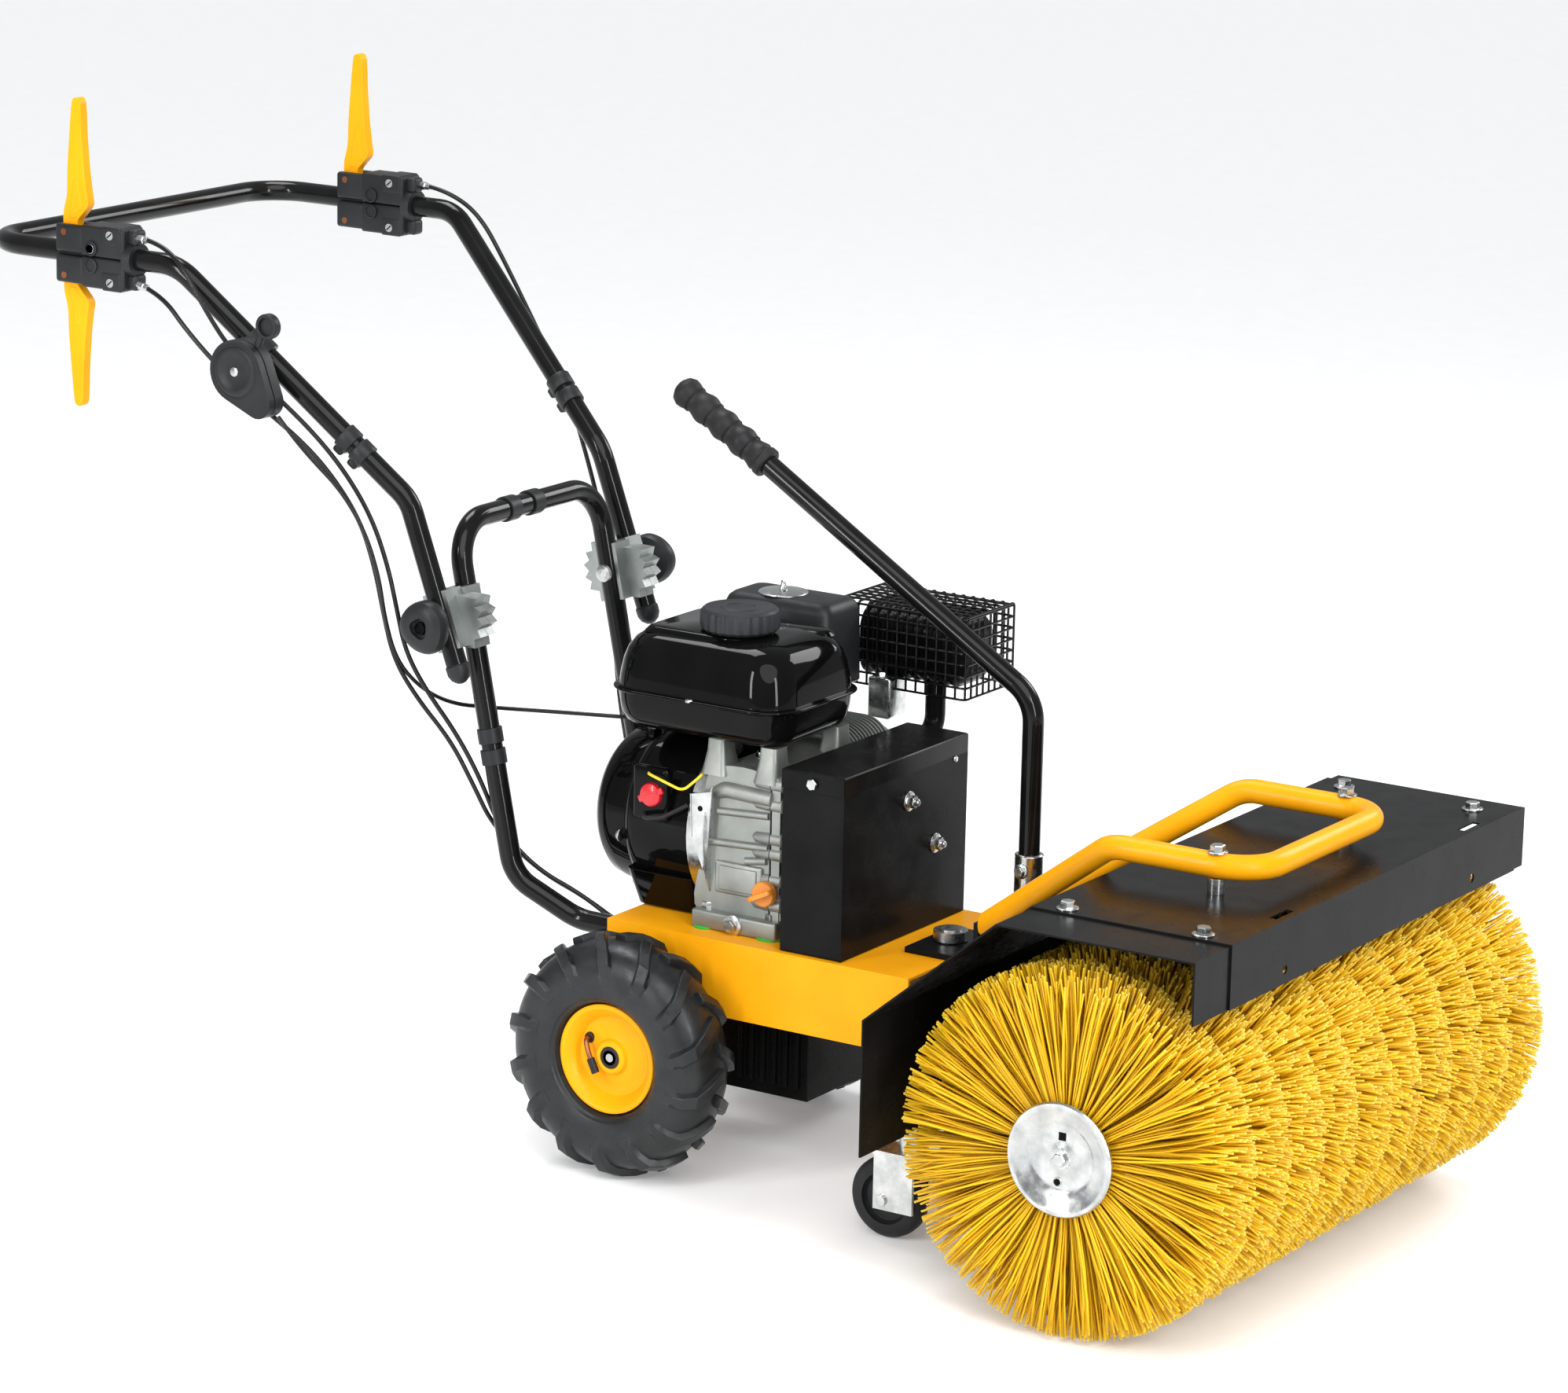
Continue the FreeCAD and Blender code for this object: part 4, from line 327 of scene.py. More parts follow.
def rounded_box(xs, ys, zs, radius):
    """A box with every edge rounded."""
    sections = []
    for step in range(5):
        angle = math.radians(90 * step / 4)
        inset = radius * (1 - math.sin(angle))
        sections.append((zs[0] + radius * (1 - math.cos(angle)), inset))
    sections += [(zs[0] + zs[1] - along, inset) for along, inset in reversed(sections)]
    return loft([(along, xs[0] + inset, xs[1] - inset, ys[0] + inset, ys[1] - inset,
                  max(radius * 1.001 - inset, 0.3))
                 for along, inset in sections])


def softened_route(points, bend, steps=6):
    """The points of a bent bar's centreline, with an arc at each bend."""
    points = [Vector(point) for point in points]
    line = [points[0]]
    for before, corner, after in zip(points, points[1:], points[2:]):
        back, ahead = (before - corner), (after - corner)
        half_turn = (math.pi - back.angle(ahead)) / 2
        if half_turn < 0.02 or bend == 0:
            line.append(corner)
            continue
        reach = min(bend * math.tan(half_turn), 0.45 * back.length, 0.45 * ahead.length)
        entry, leave = corner + back.normalized() * reach, corner + ahead.normalized() * reach
        for step in range(steps + 1):
            share = step / steps
            line.append(entry.lerp(corner, share).lerp(corner.lerp(leave, share), share))
    return line + [points[-1]]


def bar(points, radius, bend=0, steps=14):
    """A round bar along a bent centreline."""
    line = softened_route(points, bend)
    side = Vector((0, 0, 1)).cross(line[1] - line[0])
    if side.length < 1e-3:
        side = Vector((1, 0, 0))
    verts, faces = [], []
    for index, point in enumerate(line):
        heading = line[min(index + 1, len(line) - 1)] - line[max(index - 1, 0)]
        heading.normalize()
        side = (side - heading * side.dot(heading)).normalized()
        up = heading.cross(side)
        for step in range(steps):
            angle = 2 * math.pi * step / steps
            verts.append(point + side * (radius * math.cos(angle)) + up * (radius * math.sin(angle)))
    last = (len(line) - 1) * steps
    for first in range(0, last, steps):
        second = first + steps
        for step in range(steps):
            after = (step + 1) % steps
            faces.append((first + step, first + after, second + after, second + step))
    return verts, faces + [tuple(reversed(range(steps))), tuple(range(last, last + steps))]


def smooth_outline(corners, steps=4):
    """A closed outline that curves through its corners."""
    count = len(corners)
    out = []
    for i in range(count):
        p0, p1, p2, p3 = (Vector(corners[(i + k) % count]) for k in (-1, 0, 1, 2))
        for step in range(steps):
            share = step / steps
            curve = ((2 * p1) + (p2 - p0) * share + (2 * p0 - 5 * p1 + 4 * p2 - p3) * share ** 2
                     + (3 * p1 - p0 - 3 * p2 + p3) * share ** 3)
            out.append(tuple(0.5 * curve))
    return out


class Shape:
    """Faces of several finishes that end up as one piece."""

    def __init__(self):
        self.verts, self.faces, self.finishes, self.chosen = [], [], [], []

    def add(self, made, material, where=GLOBAL):
        if material not in self.finishes:
            self.finishes.append(material)
        base = len(self.verts)
        flip = where.determinant() < 0
        self.verts += [where @ Vector(vert) for vert in made[0]]
        for face in made[1]:
            order = tuple(base + index for index in face)
            self.faces.append(order[::-1] if flip else order)
        self.chosen += [self.finishes.index(material)] * len(made[1])
        return self

    def piece(self, name, body, replaces=(), slot=None, bevel=0.6, crease=32):
        mesh = bpy.data.meshes.new(name)
        mesh.from_pydata([tuple(vert) for vert in self.verts], [], self.faces)
        for material in self.finishes:
            mesh.materials.append(material)
        mesh.polygons.foreach_set("material_index", self.chosen)
        mesh.shade_smooth()
        mesh.set_sharp_from_angle(angle=math.radians(crease))
        mesh.update()
        item = placed(name, mesh)
        if bevel:
            soften(item, bevel)
        if body:
            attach(item, body)
        if replaces:
            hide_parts(*([replaces] if isinstance(replaces, str) else replaces))
        return item


def soften(item, width):
    """Rounded edges, so that corners catch the light."""
    modifier = item.modifiers.new("edges", "BEVEL")
    modifier.width = width / 1000
    modifier.segments = 3
    modifier.limit_method = "ANGLE"
    modifier.angle_limit = math.radians(38)
    modifier.harden_normals = True


def softened_node(node, name, material, width):
    """A copy of a plain CAD part with rounded edges."""
    mesh = frame["nodes"][node].data.copy()
    mesh.name = name
    work = bmesh.new()
    work.from_mesh(mesh)
    bmesh.ops.remove_doubles(work, verts=work.verts, dist=1e-5)
    bmesh.ops.dissolve_limit(work, angle_limit=math.radians(1), verts=work.verts, edges=work.edges)
    work.to_mesh(mesh)
    work.free()
    if "custom_normal" in mesh.attributes:
        mesh.attributes.remove(mesh.attributes["custom_normal"])
    mesh.materials.clear()
    mesh.materials.append(material)
    mesh.shade_smooth()
    mesh.set_sharp_from_angle(angle=math.radians(32))
    item = placed(name, mesh)
    soften(item, width)
    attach(item, frame["nodes"][node]["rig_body"])
    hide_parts(node)


def hex_bolt(shape, point, axis, across=13, height=7.0, washer=10.5, spin=15, stud=0.0):
    """A hexagon head on a washer, with a stud's end where it has one."""
    where = facing(point, axis, spin)
    if washer:
        shape.add(turned([(0, 0), (0, washer), (1.6, washer), (1.9, washer - 0.5), (1.9, 0)], 32), ZINC,
                  where)
    radius = across / math.sqrt(3)
    shape.add(turned([(1.5, 0), (1.5, radius), (height - 1, radius), (height, radius * 0.88), (height, 0)],
                     6),
              ZINC, where)
    if stud:
        shape.add(turned([(height - 1, 0), (height - 1, across * 0.3), (height + stud - 1, across * 0.3),
                          (height + stud, across * 0.22), (height + stud, 0)], 20), ZINC, where)


# Camera, floor and lights
def point_at(item, target):
    """Turns a lamp towards a place."""
    item.rotation_euler = (Vector(target) - item.location).to_track_quat("-Z", "Y").to_euler()


def camera():
    """The view from the brush end, near side, a little above the machine."""
    turn, rise, roll = math.radians(-57.3), math.radians(13.8), math.radians(1.2)
    back = Vector((math.sin(turn) * math.cos(rise), -math.cos(turn) * math.cos(rise), math.sin(rise)))
    level = Vector((math.cos(turn), math.sin(turn), 0))
    above = back.cross(level)
    right = level * math.cos(roll) + above * math.sin(roll)
    up = above * math.cos(roll) - level * math.sin(roll)
    data = bpy.data.cameras.new("camera")
    data.sensor_width = 36
    data.lens = 7008.1 / 1995 * 36
    data.clip_end = 60
    item = placed("camera", data)
    spot = right * 0.0777 + up * 0.4623 + back * 5.8664 + Vector((0, AXLE_Y, 0))
    turn_matrix = Matrix((right, up, back)).transposed().to_4x4()
    item.matrix_world = Matrix.Translation(spot) @ turn_matrix
    bpy.context.scene.camera = item


def softbox(name, place, target, size, power, tall=None):
    """An area light that faces its target; tall makes it a strip."""
    data = bpy.data.lights.new(name, "AREA")
    data.energy = power
    data.size = size
    if tall:
        data.shape = "RECTANGLE"
        data.size_y = tall
    item = placed(name, data)
    item.location = place
    point_at(item, target)


def studio():
    """A white floor under an even soft sun, with softboxes that draw the highlights."""
    world = bpy.data.worlds.new("studio")
    bpy.context.scene.world = world
    world.use_nodes = True
    world.node_tree.nodes["Background"].inputs["Color"].default_value = (0.96, 0.98, 1.0, 1)
    world.node_tree.nodes["Background"].inputs["Strength"].default_value = 0.42
    paper = surface("pale_floor", (0.9, 0.9, 0.9), (0.93, 0.93, 0.93), (0.6, 0.7), grain=60, depth=0.02)
    glow = paper.node_tree.nodes["Principled BSDF"].inputs
    glow["Emission Color"].default_value = (1, 1, 1, 1)
    glow["Emission Strength"].default_value = 0.17
    floor = Shape().add(block((-60000, 60000), (-60000, 60000), (-20, 0)),
                        paper).piece("floor", None, bevel=0)
    sun = bpy.data.lights.new("soft_sun", "SUN")
    sun.energy = 1.9
    sun.angle = math.radians(50)
    item = placed("soft_sun", sun)
    item.location = (-2.4, -2.0, 3.6)
    point_at(item, (0, 0, 0.4))
    softbox("strip_near", (-3.0, 0.9, 1.5), (0, 0, 0.5), 0.3, 45, 1.9)
    softbox("strip_front", (-1.7, -3.2, 1.5), (0, -0.2, 0.4), 0.4, 55, 2.0)
    softbox("fill", (2.8, -1.2, 2.2), (0, 0, 0.4), 1.2, 40)
    softbox("top", (0.6, 1.2, 3.2), (0, 0, 0.4), 1.2, 45)
    bpy.context.scene.view_settings.view_transform = "Standard"


# Carried-over CAD parts
def carried_over():
    """CAD parts that keep their own mesh and only get a finish."""
    finishes = {
        TUBE: ("lower_handle_tube", "handlebar_tube", "angle_lever"),
        STEEL: ("clamp_bolts", "swivel_pin", "crankshaft", "engine_pulley", "travel_input", "brush_drive",
                "head_input_shaft", "brush_shaft", "travel_idler", "brush_idler", "wheel_axle"),
        CAST: ("flywheel",),
        BELT: ("drive_belts",),
        YELLOW: ("head_yoke",),
    }
    for material, nodes in finishes.items():
        for node in nodes:
            mesh = frame["nodes"][node].data
            mesh.materials.clear()
            mesh.materials.append(material)


def softened_parts():
    """Folded, cast and welded parts whose edges are rounded."""
    rows = (
        ("chassis_frame", "chassis_channel", YELLOW, 2.2, "yellow_paint"),
        ("head_frame", "sweep_head_frame", SHEET, 1.2, "black_sheet"),
        ("travel_gearbox", "gearbox_case", SHEET, 1.5, "black_sheet"),
        ("brush_gearbox", "brush_leg", SHEET, 1.5, "black_sheet"),
        ("hood_panel", "hood_sheet", SHEET, 1.6, "black_sheet"),
        ("hood_ends", "hood_end_strips", SHEET, 1.6, "black_sheet"),
        ("carburettor", "carburettor_body", CAST, 1.2, "cast_aluminium"),
        ("castor_fork_right", "castor_fork_near", ZINC, 0.8, "bright_steel"),
        ("castor_fork_left", "castor_fork_far", ZINC, 0.8, "bright_steel"),
        ("clamp_inner_halves", "clamp_castings_inner", BRIGHT_CAST, 0.9, "cast_aluminium"),
        ("clamp_outer_halves", "clamp_castings_outer", BRIGHT_CAST, 0.9, "cast_aluminium"),
    )
    for node, name, material, width, slot in rows:
        softened_node(node, name, material, width)


# Brush
BRUSH_Y, BRUSH_Z, BRUSH_RADIUS, BRUSH_HALF = -622.65, 185.5, 185.5, 341
CORE_RADIUS = 44.0
FILAMENT_RADIUS = 1.35


def bristle_rings():
    """Five fanned rings of filaments on each half of the brush, each with a crowned rim."""
    draw = np.random.default_rng(11)
    rings_per_half, filaments = 5, 2100
    levels, corners = 5, 3
    half_pitch = BRUSH_HALF / rings_per_half / 2
    starts, ends, tones = [], [], []
    for side in (-1, 1):
        for ring in range(rings_per_half):
            root = half_pitch * (2 * ring + 1)
            open_side = 1 if ring == rings_per_half - 1 else -1 if ring == 0 else 0
            angle = draw.uniform(0, 2 * math.pi, filaments)
            fan = draw.uniform(-1, 1, filaments)
            spread = half_pitch + np.where(fan * open_side > 0, 9.0, -1.0)
            root_x = root + fan * half_pitch * 0.9
            tip_x = np.clip(root + fan * spread + draw.normal(0, 1.6, filaments), 1.0, BRUSH_HALF + 7)
            crown = 15.0 * np.abs(fan) ** 3.2 + 3.0 * draw.uniform(0, 1, filaments) ** 2
            reach = BRUSH_RADIUS - 0.3 - crown
            sway = draw.normal(0, 0.04, filaments)
            starts.append(np.stack([side * root_x, np.full(filaments, CORE_RADIUS), angle], 1))
            ends.append(np.stack([side * tip_x, reach, angle + sway], 1))
            tones.append(draw.uniform(0, 1, filaments))
    start, end, tone = np.concatenate(starts), np.concatenate(ends), np.concatenate(tones)
    count = len(start)
    bow = draw.normal(0, 0.02, count)
    shares = np.linspace(0, 1, levels)
    verts = np.zeros((count, levels, corners, 3))
    for level, share in enumerate(shares):
        x = start[:, 0] + (end[:, 0] - start[:, 0]) * share ** 1.4
        radius = start[:, 1] + (end[:, 1] - start[:, 1]) * share
        angle = start[:, 2] + (end[:, 2] - start[:, 2]) * share ** 1.5 + bow * math.sin(math.pi * share)
        for corner in range(corners):
            turn = 2 * math.pi * corner / corners + tone * 6
            across, along_x = FILAMENT_RADIUS * np.cos(turn), FILAMENT_RADIUS * np.sin(turn)
            verts[:, level, corner, 0] = x + along_x
            verts[:, level, corner, 1] = BRUSH_Y + radius * np.cos(angle) - across * np.sin(angle)
            verts[:, level, corner, 2] = BRUSH_Z + radius * np.sin(angle) + across * np.cos(angle)
    verts[..., 1] += AXLE_Y * 1000
    verts /= 1000
    verts[..., 2] = np.maximum(verts[..., 2], 0.0002)
    base = np.arange(count)[:, None] * levels * corners
    quads = []
    for level in range(levels - 1):
        for corner in range(corners):
            after = (corner + 1) % corners
            quads.append([level * corners + corner, level * corners + after,
                          (level + 1) * corners + after, (level + 1) * corners + corner])
    quads = (base[:, :, None] + np.array(quads)[None]).reshape(-1, 4)
    caps = base + np.array([[(levels - 1) * corners + corner for corner in range(corners)]])
    mesh = bpy.data.meshes.new("bristles")
    mesh.vertices.add(count * levels * corners)
    mesh.vertices.foreach_set("co", verts.reshape(-1))
    loops = np.concatenate([quads.reshape(-1), caps.reshape(-1)])
    mesh.loops.add(len(loops))
    mesh.loops.foreach_set("vertex_index", loops)
    sizes = [4] * len(quads) + [3] * len(caps)
    mesh.polygons.add(len(sizes))
    mesh.polygons.foreach_set("loop_start", np.concatenate([[0], np.cumsum(sizes)[:-1]]))
    mesh.update(calc_edges=True)
    mesh.attributes.new("along", "FLOAT", "POINT").data.foreach_set(
        "value", np.repeat(np.tile(shares, count), corners).astype(np.float32))
    mesh.attributes.new("tone", "FLOAT", "POINT").data.foreach_set(
        "value", np.repeat(tone, levels * corners).astype(np.float32))
    mesh.materials.append(BRISTLE)
    mesh.shade_smooth()
    item = placed("brush_bristles", mesh)
    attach(item, "brush")
    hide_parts("bristles")


def brush_discs():
    """A dished plate on each end of the brush, with its splined hub and nut, and painted shade in its square
    hole and rivet hole.
    """
    shape = Shape()
    for side in (-1, 1):
        where = facing((side * BRUSH_HALF, BRUSH_Y, BRUSH_Z), (side, 0, 0))
        shape.add(spun([(-2, 55), (1, 57), (4.5, 57), (6.4, 55.5), (6.8, 53), (5.6, 50), (3.2, 46),
                          (2.2, 38), (0.4, 35), (-0.8, 32), (-0.8, 15), (0.6, 12)], 96), ZINC, where)
        shape.add(spun([(0.5, 10), (1.6, 10)], 40, 12, 0.7), ZINC, where)
        shape.add(spun([(1.5, 7.2), (5.8, 7.2), (6.8, 6.2)], 6), ZINC, where)
        # Painted shade: a dark square and a dark disc stand in for the shade inside a square hole and the
        # rivet hole.
        shape.add(block((-4, 4), (18, 26), (-1, -0.5)), PAINTED_SHADE, where)
        shape.add(disc(3.4, -0.7, -0.6, 20), PAINTED_SHADE,
                  where @ Matrix.Translation((-4, -24, 0)))
        shape.add(turned([(-1.2, 3.4), (0.1, 3.9), (0.1, 4.6), (-1, 5)], 24), ZINC,
                  where @ Matrix.Translation((-4, -24, 0)))
    shape.piece("brush_end_discs", "brush", "brush_discs", "bright_steel", bevel=0.4)


CASTOR_X, CASTOR_Y, CASTOR_Z = 172, -331, 42.5


def castors():
    """A rubber tyre and its hub on each side, and the two bolts of each castor's axle."""
    for side, name in ((-1, "right"), (1, "left")):
        where = facing((side * CASTOR_X, CASTOR_Y, CASTOR_Z), (1, 0, 0))
        shape = Shape()
        shape.add(turned([(-11.8, 27), (-11.8, 35), (-10, 39), (-6, 41.8), (0, 42.4), (6, 41.8), (10, 39),
                          (11.8, 35), (11.8, 27), (9, 26), (-9, 26), (-11.8, 27)], 64), RUBBER, where)
        shape.add(turned([(-9, 7), (-9, 12), (-6, 14), (-5, 24), (-9.5, 26.5), (9.5, 26.5), (5, 24),
                          (6, 14), (9, 12), (9, 7)], 48), PLASTIC, where)
        shape.piece(f"castor_tyre_{name}", f"castor_roller_{name}", f"castor_wheel_{name}", "black_rubber",
                    0.5)
        bolts = Shape()
        for end in (-1, 1):
            hex_bolt(bolts, (side * CASTOR_X + end * 15.2, CASTOR_Y, CASTOR_Z), (end, 0, 0), 11, 5.5, 8.5)
        bolts.piece(f"castor_bolt_{name}", f"castor_swivel_{name}", slot="bright_steel", bevel=0.3)


# Wheels
WHEEL_X, WHEEL_RADIUS, LUGS = 172, 130, 14


def tyre_lug(centre_x, side, angle):
    """One bar of the chevron tread, from past the middle over the shoulder and down the wall."""
    rows = ((-3, 121.5, 0, 7.5, 8.0, 6.0), (8, 121.2, 3, 7.6, 8.2, 6.2), (19, 118.5, 7, 8.2, 8.6, 6.6),
            (28, 112.5, 11.5, 9.4, 9.4, 7.0), (34, 103, 14, 8.0, 10.2, 6.4), (37, 93, 15, 4.2, 9.5, 4.0),
            (37.6, 84, 15.6, 0.6, 8.0, 2.4))
    verts = []
    for x, radius, shift, height, half_base, half_top in rows:
        normal = Vector((max(x, 0), (radius - 86) * 1.25)).normalized()
        top_x, top_radius = x + normal.x * height * 0.8, radius + normal.y * height
        top_radius = min(top_radius, WHEEL_RADIUS - 0.4)
        for place_x, place_radius, half in ((x, radius - 2.5, -half_base), (top_x, top_radius, -half_top),
                                            (top_x, top_radius, half_top), (x, radius - 2.5, half_base)):
            turn = math.radians(angle + shift) + half / place_radius
            verts.append((centre_x + side * place_x, place_radius * math.cos(turn),
                          WHEEL_RADIUS + place_radius * math.sin(turn)))
    faces = [(3, 2, 1, 0)]
    for row in range(len(rows) - 1):
        for corner in range(4):
            after = (corner + 1) % 4
            faces.append((row * 4 + corner, row * 4 + after, row * 4 + 4 + after, row * 4 + 4 + corner))
    last = (len(rows) - 1) * 4
    faces.append((last, last + 1, last + 2, last + 3))
    if side < 0:
        faces = [face[::-1] for face in faces]
    return verts, faces


def wheels():
    """Tyres with chevron lugs, dished yellow discs, and the caps and bent valve stems."""
    tread, rims, stems = Shape(), Shape(), Shape()
    half = [(22, 53), (23.4, 58.8), (27, 60.5), (31, 62), (33, 65.5), (34.6, 66.5), (35.6, 70), (37.0, 76),
            (37.9, 84), (37.6, 92), (35.6, 102), (31, 111), (24, 117), (14, 120.8), (5, 122.3)]
    wall = half + [(-along, radius) for along, radius in reversed(half)]
    rim = [(26.2, 53), (27.2, 55.5), (26.6, 58), (24.2, 58.4), (22, 55), (21.5, 51.5), (12, 50), (-20, 50),
           (-22, 55),
           (-25, 58), (-26, 55), (-24, 49), (-4, 46), (-4, 12), (20, 11.5), (21.4, 12.6), (21.6, 15.4),
           (20, 17.4),
           (15, 19), (13.6, 22), (13, 27), (11.4, 31), (10.6, 38), (11.4, 42), (16, 45), (22, 48.6),
           (26.2, 53)]
    for side in (-1, 1):
        where = facing((side * WHEEL_X, 0, WHEEL_RADIUS), (side, 0, 0))
        tread.add(turned(wall, 96), TYRE, where)
        for row in (-1, 1):
            for index in range(LUGS):
                angle = 360 / LUGS * (index + (0.5 if row > 0 else 0))
                tread.add(tyre_lug(side * WHEEL_X, row, angle), TYRE)
        rims.add(turned(rim, 96), YELLOW, where)
        spot = where @ rolled(155)
        stems.add(spun([(10, 6), (13.5, 5.6), (14.5, 4.5)], 24), RUBBER,
                  spot @ Matrix.Translation((34, 0, 0)))
        stems.add(bar([(34, 0, 10), (34, 0, 20), (22, 9, 24), (16, 13.5, 24.5)], 2.7, 8, 14), BRASS, spot)
        stems.add(bar([(18, 12, 24.4), (5, 22, 25)], 4.3, 0, 14), PLASTIC, spot)
        stems.add(spun([(10, 12.2), (20, 12.2), (21, 11), (21, 4), (20, 3)], 40), PLASTIC, where)
        stems.add(block((-3, 3), (9, 14.6), (12.4, 19.6)), PLASTIC, where @ Matrix.Rotation(2.6, 4, "Z"))
    tread.piece("wheel_tyres", "wheel_set", "tyres", "tyre_rubber", 1.1)
    rims.piece("wheel_discs", "wheel_set", "wheel_rims", "yellow_paint", 0.5)
    stems.piece("valve_stems_and_caps", "wheel_set", slot="black_rubber", bevel=0.4)


carried_over()
softened_parts()
bristle_rings()
brush_discs()
castors()
wheels()


# Engine
CRANK_Z, CHASSIS_TOP = 350, 256


def crankcase():
    """The grey casting: base flange, ribbed case, paired bosses, gasket line and tank posts."""
    shape = Shape()
    shape.add(rounded_box((-100, 62), (-140, -36), (CHASSIS_TOP, 276), 3), CAST)
    shape.add(prism(smooth_outline([(-134, 270), (-40, 270), (-40, 330), (-44, 400), (-58, 428), (-112, 430),
                                    (-130, 404), (-134, 330)], 5), "x", -90, 60), CAST)
    shape.add(prism([(-138, 272), (-128, 272), (-128, 424), (-134, 428), (-138, 420)], "x", -91.5, 61), CAST)
    shape.add(prism([(-127.2, 272), (-126, 272), (-126, 428), (-127.2, 428)], "x", -92, 61.2), RUBBER)
    shape.add(spun([(0, 42), (20, 42), (22, 40)], 56), CAST, facing((0, -133, CRANK_Z), (0, -1, 0)))
    # side face: ribs, raised plate and the round transitions
    shape.add(rounded_box((-93.5, -88), (-118, -60), (296, 330), 2.4), CAST)
    shape.add(rounded_box((-95, -92), (-112, -66), (300, 326), 1.4), CAST)
    for z, y_low, y_high in ((352, -124, -50), (386, -124, -62), (338, -122, -96)):
        shape.add(bar([(-90, y_low, z), (-90, y_high, z - 4)], 4.2, 0, 10), CAST)
    for z in (292, 318, 346, 362, 398, 420):
        shape.add(spun([(0, 8), (13, 8), (14.5, 6.5)], 24), CAST,
                  facing((-86, -127, z), (0, -1, 0)))
        shape.add(spun([(0, 8), (18, 7), (24, 3)], 24), CAST, facing((-86, -126, z), (0, 1, 0)))
    shape.add(bar([(-88, -128, 404), (-88, -70, 406), (-80, -48, 396)], 9, 16, 16), CAST)
    shape.add(turned([(0, 0), (0, 17), (26, 15), (30, 0)], 32), CAST, facing((-60, -92, 410), (-0.5, 0, 1)))
    for x, y in ((-78, -120), (-78, -56), (40, -120), (40, -56)):
        shape.add(loft([(420, x - 18, x + 18, y - 15, y + 15, 6), (444, x - 13, x + 13, y - 11, y + 11, 5),
                        (457, x - 12, x + 12, y - 10, y + 10, 4)]), CAST)
    hex_bolt(shape, (-62, -97, 441), (-0.4, 0, 1), 10, 6, 8)
    hex_bolt(shape, (-100, -88, 266), (-1, 0, 0), 12, 8, 11)
    shape.piece("crankcase_casting", "chassis", "engine_crankcase", "cast_aluminium", 1.0, 40)


def engine_studs():
    """Flange nuts on the base studs, the green washers below and the two studs on the belt cover."""
    shape = Shape()
    for x in (48, -86):
        for y in (-127, -49):
            hex_bolt(shape, (x, y, 272), (0, 0, 1), 13, 11, 11.5, stud=8)
            shape.add(spun([(0, 15), (2.4, 15.5), (3, 14)], 32), GREEN,
                      facing((x - 2, y, 255.6), (0, 0, 1)))
    for x, z in ((4, 400), (58, 344)):
        hex_bolt(shape, (x, -233, z), (0, -1, 0), 12, 9, 10.5, stud=4)
    hex_bolt(shape, (-121, -196, 438), (-1, 0, 0), 11, 5, 0)
    hex_bolt(shape, (-118, -305, 240), (-1, 0, 0), 10, 5, 8)
    shape.add(turned([(0, 0), (0, 3.6), (1.6, 3), (2, 0)], 20), ZINC, facing((95, -233, 426), (0, -1, 0)))
    shape.piece("studs_and_nuts", "chassis", "chassis_bolts", "bright_steel", 0.3)


def cylinder():
    """The cylinder block, its cooling fins and the head with four bolts."""
    shape = Shape()
    shape.add(rounded_box((58, 140), (-120, -54), (336, 436), 10), CAST)
    for index in range(12):
        x = 63 + index * 6.2
        shape.add(loft([(x, -132, -44, 330, 446, 34), (x + 2.2, -132, -44, 330, 446, 34)], "x", 8), CAST)
    shape.add(rounded_box((139, 154), (-118, -56), (338, 432), 7), CAST)
    for y in (-108, -66):
        for z in (350, 420):
            hex_bolt(shape, (154, y, z), (1, 0, 0), 9, 5, 7)
    shape.piece("finned_cylinder", "chassis", "cylinder_head", "cast_aluminium", 0.5)


